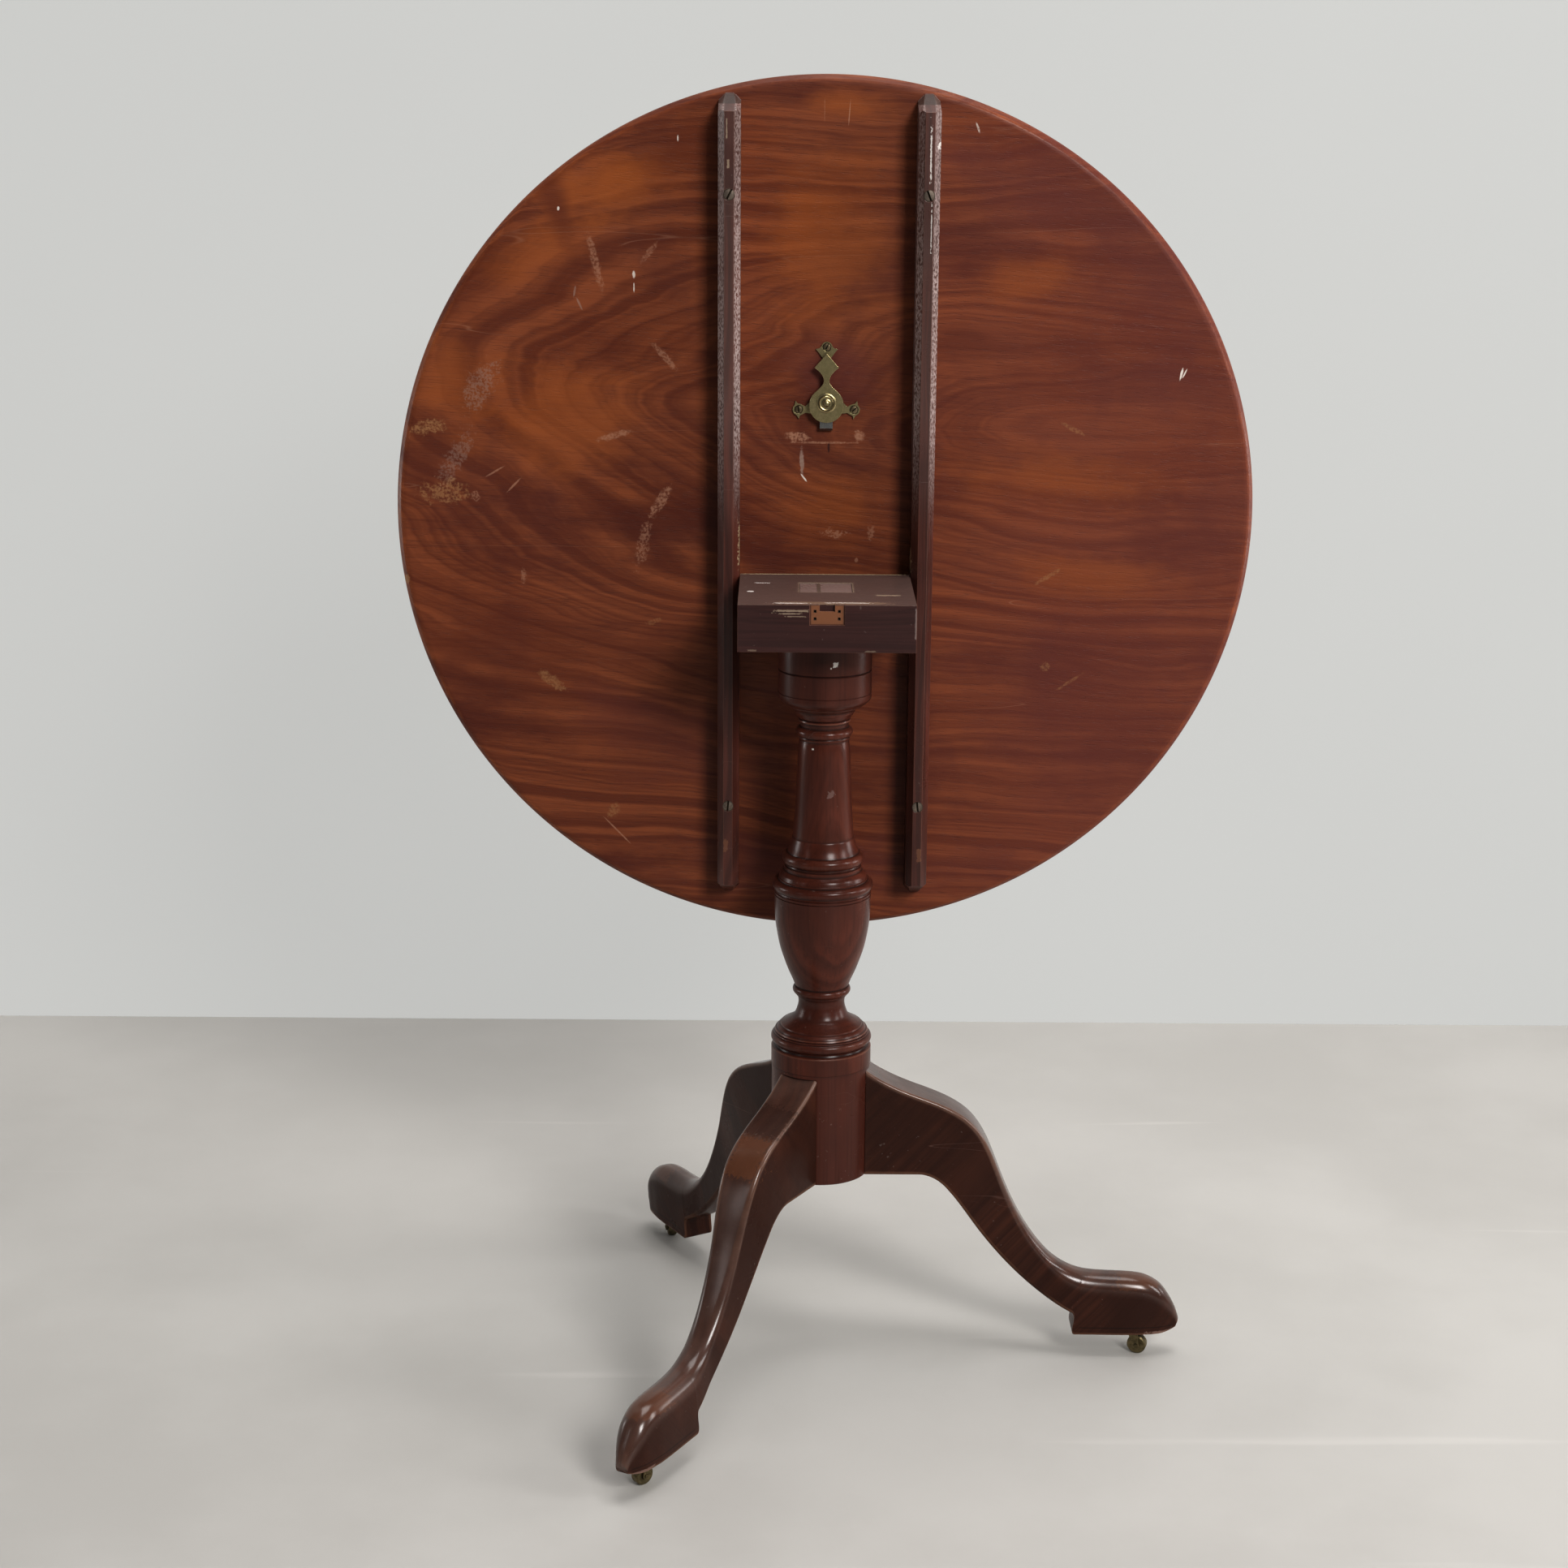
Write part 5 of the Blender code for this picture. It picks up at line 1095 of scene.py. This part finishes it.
# %% Legs
SHARP_RADIUS = 0.008
RUB_REACH = 0.0008


def leg_rings():
    """Rings of (across, down) points: four corner arcs with the sides between them, and how sharp each
    point is."""
    tall = np.linalg.norm(lower - upper, axis=1)
    corners = []
    for side, at_top, first in ((1, True, 90), (1, False, 0), (-1, False, -90), (-1, True, 180)):
        radius = upper_corners if at_top else lower_corners
        turn = np.radians(np.linspace(first, first - 90, CORNER_POINTS))
        across = (side * (widths / 2 - radius))[:, None] + radius[:, None] * np.cos(turn)
        centre = radius if at_top else tall - radius
        down = centre[:, None] - radius[:, None] * np.sin(turn)
        sharp = np.clip(1.15 - radius / SHARP_RADIUS, 0.05, 1.0)[:, None] * np.ones(CORNER_POINTS)
        corners.append(np.stack([across, down, sharp], axis=-1))
    pieces = []
    fraction = np.array(SIDE_FRACTIONS)[None, :, None]
    for corner, after in zip(corners, corners[1:] + corners[:1]):
        start, finish = corner[:, -1:], after[:, :1]
        side = start + (finish - start) * fraction
        length = np.linalg.norm((finish - start)[..., :2], axis=-1)
        gap = np.minimum(fraction[..., 0], 1 - fraction[..., 0]) * length
        side[..., 2] = side[..., 2] * np.exp(-gap / RUB_REACH)
        pieces += [corner, side]
    ring = np.concatenate(pieces, axis=1)
    share = np.clip(1 - (2 * ring[..., 0] / widths[:, None]) ** 2, 0, 1)
    near_top = np.clip(1 - ring[..., 1] / (0.5 * tall[:, None]), 0, 1)
    ring[..., 1] -= crowns[:, None] * share * near_top
    on_top = np.clip(1 - ring[..., 1] / (upper_corners[:, None] * 1.2 + 0.001), 0, 1)
    return ring, tall, on_top


def make_leg(name, angle):
    """Places each ring between its upper and lower point, and turns the whole leg about the pillar's
    axis."""
    ring, tall, on_top = leg_rings()
    down = (lower - upper) / tall[:, None]
    out = upper[:, None, 0] + down[:, None, 0] * ring[..., 1]
    height = upper[:, None, 1] + down[:, None, 1] * ring[..., 1]
    own = np.stack([out, ring[..., 0], height], axis=-1)
    c, s = math.cos(math.radians(angle)), math.sin(math.radians(angle))
    turned = own @ np.array([[c, s, 0], [-s, c, 0], [0, 0, 1]])
    piece = closed_surface(f"scrolled_leg_{name}", turned)
    paint(piece, "own_place", own + np.array([0.0, angle * 0.01, 0.0]))
    paint(piece, "edge", ring[..., 2])
    paint(piece, "upper", on_top)
    return dress(piece, LEG_WOOD, "base", [f"leg_{name}"], 40)


for leg_name, leg_angle in LEG_ANGLES.items():
    leg = make_leg(leg_name, leg_angle)
    print(leg.name, "has", len(leg.data.polygons), "faces")

# %% [markdown]
# The top is one round board. Its surface is a profile carried round the board's axis: a face that a hand
# plane left very slightly wavy, a shallow fall to a crisp arris near the rim, and a rounded edge.

# %% Top board
board_low, board_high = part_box("top_board")
BOARD_COLUMNS = 360
FACE_RINGS = 46


def make_top_board():
    """Depth = the edge profile's at each radius, less a plane's faint waves across the grain on the
    underside."""
    radius = (board_high.x - board_low.x) / 2
    middle = (board_high.z + board_low.z) / 2
    under, upper_face = board_low.y, board_high.y
    flat = np.stack([np.linspace(0.002, radius - 0.009, FACE_RINGS), np.zeros(FACE_RINGS)], axis=1)
    fall = flowing([(radius - 0.008, 0.0), (radius - 0.0055, 0.0004), (radius - 0.0038, 0.0013)], 4)
    rim_knots = [(radius - 0.0036, 0.0015), (radius - 0.0008, 0.0050), (radius, 0.0090), (radius, 0.0160)]
    rim = flowing(rim_knots, 6)
    back = bead((radius - 0.003, 0.0160), 0.003, 0, 90, 8)
    inward = np.stack([np.linspace(radius - 0.006, 0.002, 12), np.full(12, 0.019)], axis=1)
    line = np.vstack([flat, fall, rim, back, inward])
    angle = np.linspace(0, 2 * np.pi, BOARD_COLUMNS, endpoint=False)
    line[:, 0] = np.minimum(line[:, 0], radius)
    x = line[:, :1] * np.cos(angle)
    up = line[:, :1] * np.sin(angle)
    waves = 0.5 + 0.25 * np.sin(up * 175 + 1.3 * np.sin(x * 7)) + 0.25 * np.sin(up * 61 + x * 5)
    calm = np.clip((radius - 0.010 - line[:, :1]) / 0.02, 0, 1) * (line[:, 1:] < 0.01)
    depth = under + line[:, 1:] + 0.00016 * waves * calm
    rows = np.stack([x, np.minimum(depth, upper_face), middle + up], axis=-1)
    piece = closed_surface("round_top", rows)
    turn = np.abs(turn_of(line, 0.0009))
    turn[:FACE_RINGS] = 0
    paint(piece, "edge", np.clip(turn / 0.8, 0, 1)[:, None] * np.ones((1, BOARD_COLUMNS)))
    return dress(piece, TOP_WOOD, "top", ["top_board"], 30)


top = make_top_board()
print(top.name, "has", len(top.data.polygons), "faces")

# %% [markdown]
# The block, bearers and catch have flat faces and true holes already, so their fine versions start from
# the frame's own solids: a copy is merged, its flat faces are joined up again, and a small bevel eases
# the arrises as years of handling would.


# %% Softened copies
def softened(node_name, name, width, segments=2, angle=32.0):
    """A merged copy of a CAD node whose arrises are rounded; faces of the roundings carry 1 as their
    "edge"."""
    bm = bmesh.new()
    bm.from_mesh(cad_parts[node_name].data)
    bmesh.ops.remove_doubles(bm, verts=bm.verts, dist=0.000002)
    bmesh.ops.dissolve_limit(bm, angle_limit=math.radians(0.5), verts=bm.verts, edges=bm.edges)
    layer = bm.faces.layers.float.new("edge")
    arrises = [edge for edge in bm.edges if edge.calc_face_angle(0.0) > math.radians(angle)]
    rounded = bmesh.ops.bevel(
        bm, geom=arrises, offset=width, segments=segments, profile=0.5, affect="EDGES", clamp_overlap=True
    )
    for face in rounded["faces"]:
        face[layer] = 1.0
    mesh = bpy.data.meshes.new(name)
    bm.to_mesh(mesh)
    bm.free()
    for stored in list(mesh.attributes):
        if stored.name.startswith("custom_normal"):
            mesh.attributes.remove(stored)
    made = bpy.data.objects.new(name, mesh)
    bpy.context.scene.collection.objects.link(made)
    even = made.modifiers.new("Even shading", "WEIGHTED_NORMAL")
    even.keep_sharp = True
    return made


def dress_softened(node_name, name, width, finish, body, segments=2, angle=32.0):
    made = softened(node_name, name, width, segments, angle)
    made.data.materials.clear()
    made.data.materials.append(finish)
    made.data.shade_smooth()
    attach(made, body)
    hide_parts(node_name)
    return made


dress_softened("block", "pillar_block", 0.0007, BLOCK_WOOD, "base")
for side in ("left", "right"):
    name = f"chamfered_bearer_{side}"
    dress_softened(f"bearer_{side}", name, 0.0009, BEARER_WOOD, "top", 3)
dress_softened("catch_plate", "catch_back_plate", 0.0003, BRASS, "top")
dress_softened("catch_lever", "catch_thumb_lever", 0.0005, BRASS, "catch_lever", 3)
dress_softened("catch_bolt", "catch_sliding_bolt", 0.0003, BOLT_IRON, "catch_bolt")
print("softened the block, bearers and catch")

# %% [markdown]
# The stud's head is a little turned boss: a stepped skirt, a dished ring and a polished knob. It is a
# profile carried round an axis that points out of the board.


# %% Catch stud
def turned_at(name, line, centre, columns=64):
    """A profile of (radius, height) carried round the -Y direction through a point."""
    angle = np.linspace(0, 2 * np.pi, columns, endpoint=False)
    x = centre[0] + line[:, :1] * np.cos(angle)
    z = centre[2] + line[:, :1] * np.sin(angle)
    y = centre[1] - line[:, 1:] * np.ones_like(angle)
    return closed_surface(name, np.stack([x, y, z], axis=-1))


def make_catch_stud():
    """Skirt, step, dish and knob, from the lever's face outwards."""
    low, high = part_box("catch_stud")
    middle = ((low.x + high.x) / 2, 0.0, (low.z + high.z) / 2)
    lever_low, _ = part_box("catch_lever")
    face = -lever_low.y + 0.0003
    crown = (high.x - low.x) / 2
    line = [(0.0019, -high.y), (0.0019, face), (crown - 0.0003, face), (crown, face + 0.0003)]
    line += [(crown, face + 0.0007), (crown - 0.0004, face + 0.0010), (crown * 0.80, face + 0.0011)]
    line += [(crown * 0.77, face + 0.0014), (crown * 0.76, face + 0.0021), (crown * 0.70, face + 0.0025)]
    line += [(crown * 0.60, face + 0.0022), (crown * 0.48, face + 0.0021), (crown * 0.36, face + 0.0026)]
    knob = bead((0.0, face + 0.0036), 0.0033, -35, 78, 10)
    knob[:, 1] = face + 0.0036 + (knob[:, 1] - face - 0.0036) * 0.78
    line = np.vstack([line, knob])
    line[:, 1] = np.minimum(line[:, 1], -low.y)
    piece = turned_at("catch_boss", line, middle)
    turn = turn_of(line[::-1], 0.0004)[::-1]
    paint(piece, "edge", np.clip(turn / 1.2, 0, 1)[:, None] * np.ones((1, 64)))
    paint(piece, "groove", 0.6 * np.clip(-turn / 1.0, 0, 1)[:, None] * np.ones((1, 64)))
    return dress(piece, BRASS, "top", ["catch_stud"], 45)


stud = make_catch_stud()
print(stud.name, "has", len(stud.data.polygons), "faces")

# %% [markdown]
# The screws are slotted by hand, so each slot lies at its own angle. A head is drawn in strips across the
# slot: every strip runs from rim to rim, and the strips inside the slot are sunk.


# %% Slotted screws
SLOT_SHARE = 0.16
SLOT_DEPTH = 0.40


def slab(name, upper_face, under_face, painted_values):
    """A closed mesh between two grids that share their outline: the faces, and a wall round the border."""
    rows, columns = upper_face.shape[:2]
    points = np.vstack([upper_face.reshape(-1, 3), under_face.reshape(-1, 3)])
    row, column = np.meshgrid(np.arange(rows - 1), np.arange(columns - 1), indexing="ij")
    first = row * columns + column
    face = np.stack([first, first + 1, first + columns + 1, first + columns], axis=-1).reshape(-1, 4)
    back = face[:, ::-1] + rows * columns
    index = np.arange(rows * columns).reshape(rows, columns)
    border = np.concatenate([index[0, :-1], index[:-1, -1], index[-1, :0:-1], index[:0:-1, 0]])
    onward = np.roll(border, -1)
    wall = np.stack([onward, border, border + rows * columns, onward + rows * columns], axis=1)
    bm = bmesh.new()
    mesh = bpy.data.meshes.new(name)
    mesh.from_pydata(points.tolist(), [], face.tolist() + back.tolist() + wall.tolist())
    for label, values in painted_values.items():
        stored = mesh.attributes.new(label, "FLOAT", "POINT")
        stored.data.foreach_set("value", np.tile(values.ravel(), 2).astype(np.float32))
    bm.from_mesh(mesh)
    bmesh.ops.remove_doubles(bm, verts=bm.verts, dist=0.000002)
    bmesh.ops.dissolve_degenerate(bm, edges=bm.edges, dist=0.000001)
    bmesh.ops.recalc_face_normals(bm, faces=bm.faces)
    bm.to_mesh(mesh)
    bm.free()
    made = bpy.data.objects.new(name, mesh)
    bpy.context.scene.collection.objects.link(made)
    return made


def make_screw(node_name, name, radius, slot_turn, proud, finish):
    """A domed disc in strips across its slot, on a short cone: depth drops by the slot's depth between
    its walls."""
    low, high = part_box(node_name)
    middle_x, middle_z = (low.x + high.x) / 2, (low.z + high.z) / 2
    half_slot, depth = radius * SLOT_SHARE, radius * SLOT_DEPTH
    tiny = 0.00001
    strips = np.concatenate([np.linspace(-1, -half_slot / radius - 0.02, 12) * radius, [-half_slot - tiny]])
    strips = np.concatenate([strips, [-half_slot, 0.0, half_slot], -strips[::-1]])
    across = np.linspace(-1, 1, 25)
    reach = np.sqrt(np.maximum(radius**2 - strips**2, 0))
    along = reach[:, None] * across
    side = np.repeat(strips[:, None], len(across), axis=1)
    out = np.hypot(along, side) / radius
    dome = 0.0004 * (1 - out**2)
    sunk = (np.abs(side) <= half_slot + tiny / 2) * depth
    c, s = math.cos(math.radians(slot_turn)), math.sin(math.radians(slot_turn))
    x, z = middle_x + along * c - side * s, middle_z + along * s + side * c
    face = np.stack([x, low.y - proud - dome + sunk, z], axis=-1)
    shrink = 0.45
    under_x, under_z = middle_x + (x - middle_x) * shrink, middle_z + (z - middle_z) * shrink
    under = np.stack([under_x, np.full_like(x, low.y + radius * 0.8), under_z], axis=-1)
    rim = np.clip((out - 0.80) / 0.15, 0, 1)
    # the slot floor and the rim of the head carry painted shade through the groove value
    piece = slab(name, face, under, {"groove": np.maximum(sunk / depth, rim * 0.6), "edge": 0.35 * (1 - rim)})
    return dress(piece, finish, "top", [node_name], 30)


BEARER_SLOTS = (63.0, 85.0, 111.0, 96.0)
CATCH_SLOTS = {"left": 100.0, "right": 42.0, "upper": 62.0}
BEARER_HEAD = 0.0049
CATCH_HEAD = 0.0033
PROUD = 0.0001
for number, slot_turn in enumerate(BEARER_SLOTS, 1):
    name = f"bearer_screw_{number}"
    make_screw(name, "slotted_" + name, BEARER_HEAD, slot_turn, PROUD, SCREW_IRON)
for side, slot_turn in CATCH_SLOTS.items():
    name = f"catch_screw_{side}"
    make_screw(name, "slotted_" + name, CATCH_HEAD, slot_turn, 0.0, CATCH_SCREW)
print("made", len(BEARER_SLOTS) + len(CATCH_SLOTS), "slotted screws")

# %% [markdown]
# The castors, the iron plate and its nails, the spring and the tenon's wedge keep their solids from the
# frame, which are right as they are, and take the metals and the dark wood.


# %% Finishes on the frame's own nodes
def refinish(node_name, finish):
    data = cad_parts[node_name].data
    data.materials.clear()
    data.materials.append(finish)


for node_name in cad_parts:
    if node_name.startswith("castor_"):
        refinish(node_name, CASTOR_BRASS)
    if node_name.startswith("iron_plate"):
        refinish(node_name, PLATE_IRON)
refinish("catch_spring", BOLT_IRON)
refinish("tenon_wedge", BLOCK_WOOD)
print("refinished the castors, plate, spring and wedge")

# %% [markdown]
# The studio is a pale floor that meets a pale wall close behind the table. The wall shows only its front,
# so that it never hides the table from a camera behind it.

# %% Floor and wall
WALL_Y = 0.90
ROOM_HALF = 7.0
WALL_HEIGHT = 5.0
FLOOR_DARK = (0.505, 0.486, 0.461, 1.0)
FLOOR_LIGHT = (0.552, 0.533, 0.508, 1.0)


def flat_sheet(name, corners):
    mesh = bpy.data.meshes.new(name)
    mesh.from_pydata(corners, [], [(0, 1, 2, 3)])
    made = bpy.data.objects.new(name, mesh)
    bpy.context.scene.collection.objects.link(made)
    return made


def floor_finish():
    """Pale sealed concrete: faint clouds, a soft sheen and a few hairline scratches."""
    made, tree, shader = new_finish("pale_floor")
    place = object_place(tree)
    cloud = noise(tree, place, 2.2, 6.0, 0.6)
    colour = blend(tree, ramp(tree, cloud, 0.35, 0.65), FLOOR_DARK, FLOOR_LIGHT)
    scratches = use(tree, FINE_SCRATCHES, {"Vector": place, "Scale": 2.5, "Spread": 0.5})["Mask"]
    colour = blend(tree, times(tree, scratches, 0.5), colour, (0.72, 0.69, 0.66, 1.0))
    link(tree, colour, shader, "Base Color")
    link(tree, ramp(tree, cloud, 0.35, 0.65, 0.46, 0.62), shader, "Roughness")
    return made


def wall_finish():
    """Pale paint that glows evenly, as a lit backdrop does, so that the table throws hardly any shadow
    on it."""
    made, tree, shader = new_finish("pale_wall", Roughness=0.9, Emission_Strength=1.0)
    cloud = noise(tree, object_place(tree), 1.3, 3.0)
    matt = blend(tree, cloud, (0.098, 0.098, 0.095, 1.0), (0.104, 0.104, 0.101, 1.0))
    link(tree, matt, shader, "Base Color")
    glow = blend(tree, cloud, (0.550, 0.553, 0.541, 1.0), (0.572, 0.575, 0.563, 1.0))
    link(tree, glow, shader, "Emission Color")
    clear = tree.nodes.new("ShaderNodeBsdfTransparent")
    behind = tree.nodes.new("ShaderNodeNewGeometry").outputs["Backfacing"]
    feeds = {0: behind, 1: shader.outputs[0], 2: clear.outputs[0]}
    shown = put(tree, "ShaderNodeMixShader", feeds)
    tree.links.new(shown.outputs[0], tree.nodes["Material Output"].inputs["Surface"])
    return made


H = ROOM_HALF
floor = flat_sheet("studio_floor", [(-H, -H, 0), (H, -H, 0), (H, H, 0), (-H, H, 0)])
floor.data.materials.append(floor_finish())
wall_foot = [(-H, WALL_Y, 0), (H, WALL_Y, 0)]
wall = flat_sheet("studio_backdrop", wall_foot + [(H, WALL_Y, WALL_HEIGHT), (-H, WALL_Y, WALL_HEIGHT)])
wall.data.materials.append(wall_finish())
print("floor and wall set, wall at y =", WALL_Y)

# %% [markdown]
# The main soft box stands far off at the upper right, so it throws each bearer's shadow to its left. A
# wide one overhead puts the gloss on the legs and the soft shadows under the feet, a low one at the right
# and a faint one at the left open the shadows, and a narrow pair beside the table lights the bearers'
# chamfers.


# %% Lights
def soft_box(name, place, aim, size, power, colour, spread=180.0):
    """An oblong area light of this size, turned from its place towards its aim."""
    data = bpy.data.lights.new(name, "AREA")
    data.shape = "RECTANGLE"
    data.size, data.size_y = size
    data.energy = power
    data.color = colour
    data.spread = math.radians(spread)
    made = bpy.data.objects.new(name, data)
    made.visible_camera = False
    made.location = place
    made.rotation_mode = "QUATERNION"
    made.rotation_quaternion = (Vector(aim) - Vector(place)).to_track_quat("-Z", "Y")
    bpy.context.scene.collection.objects.link(made)
    return made


TABLE_MIDDLE = (0.0, 0.0, 0.6)
NEUTRAL = (1.0, 1.0, 1.0)
SHEEN_SPREAD = 70.0
# name, place, aim, size, power in watts, colour, and a narrower spread where there is one
SOFT_BOXES = (
    ("key_right", (2.7, -5.2, 4.0), TABLE_MIDDLE, (2.0, 2.2), 340.0, (1.0, 0.995, 0.985)),
    ("window_right", (2.7, -0.8, 1.6), TABLE_MIDDLE, (0.6, 1.2), 26.0, NEUTRAL),
    ("fill_left", (-3.2, -2.2, 1.9), TABLE_MIDDLE, (0.4, 1.4), 6.0, (0.98, 0.99, 1.0)),
    ("sheen", (-1.75, 0.33, 0.70), (-0.08, 0.05, 0.85), (0.45, 0.60), 1.2, NEUTRAL, SHEEN_SPREAD),
    ("sheen", (1.75, 0.33, 0.70), (0.08, 0.05, 0.85), (0.45, 0.60), 1.2, NEUTRAL, SHEEN_SPREAD),
    ("overhead", (0.3, 0.25, 3.6), (0.0, 0.1, 0.0), (2.4, 1.7), 78.0, NEUTRAL),
)
for settings in SOFT_BOXES:
    soft_box(*settings)
world = bpy.data.worlds.new("studio_room")
bpy.context.scene.world = world
world.use_nodes = True
world.node_tree.nodes["Background"].inputs["Color"].default_value = (0.98, 0.99, 1.0, 1.0)
world.node_tree.nodes["Background"].inputs["Strength"].default_value = 0.035
print("soft boxes:", len(SOFT_BOXES))
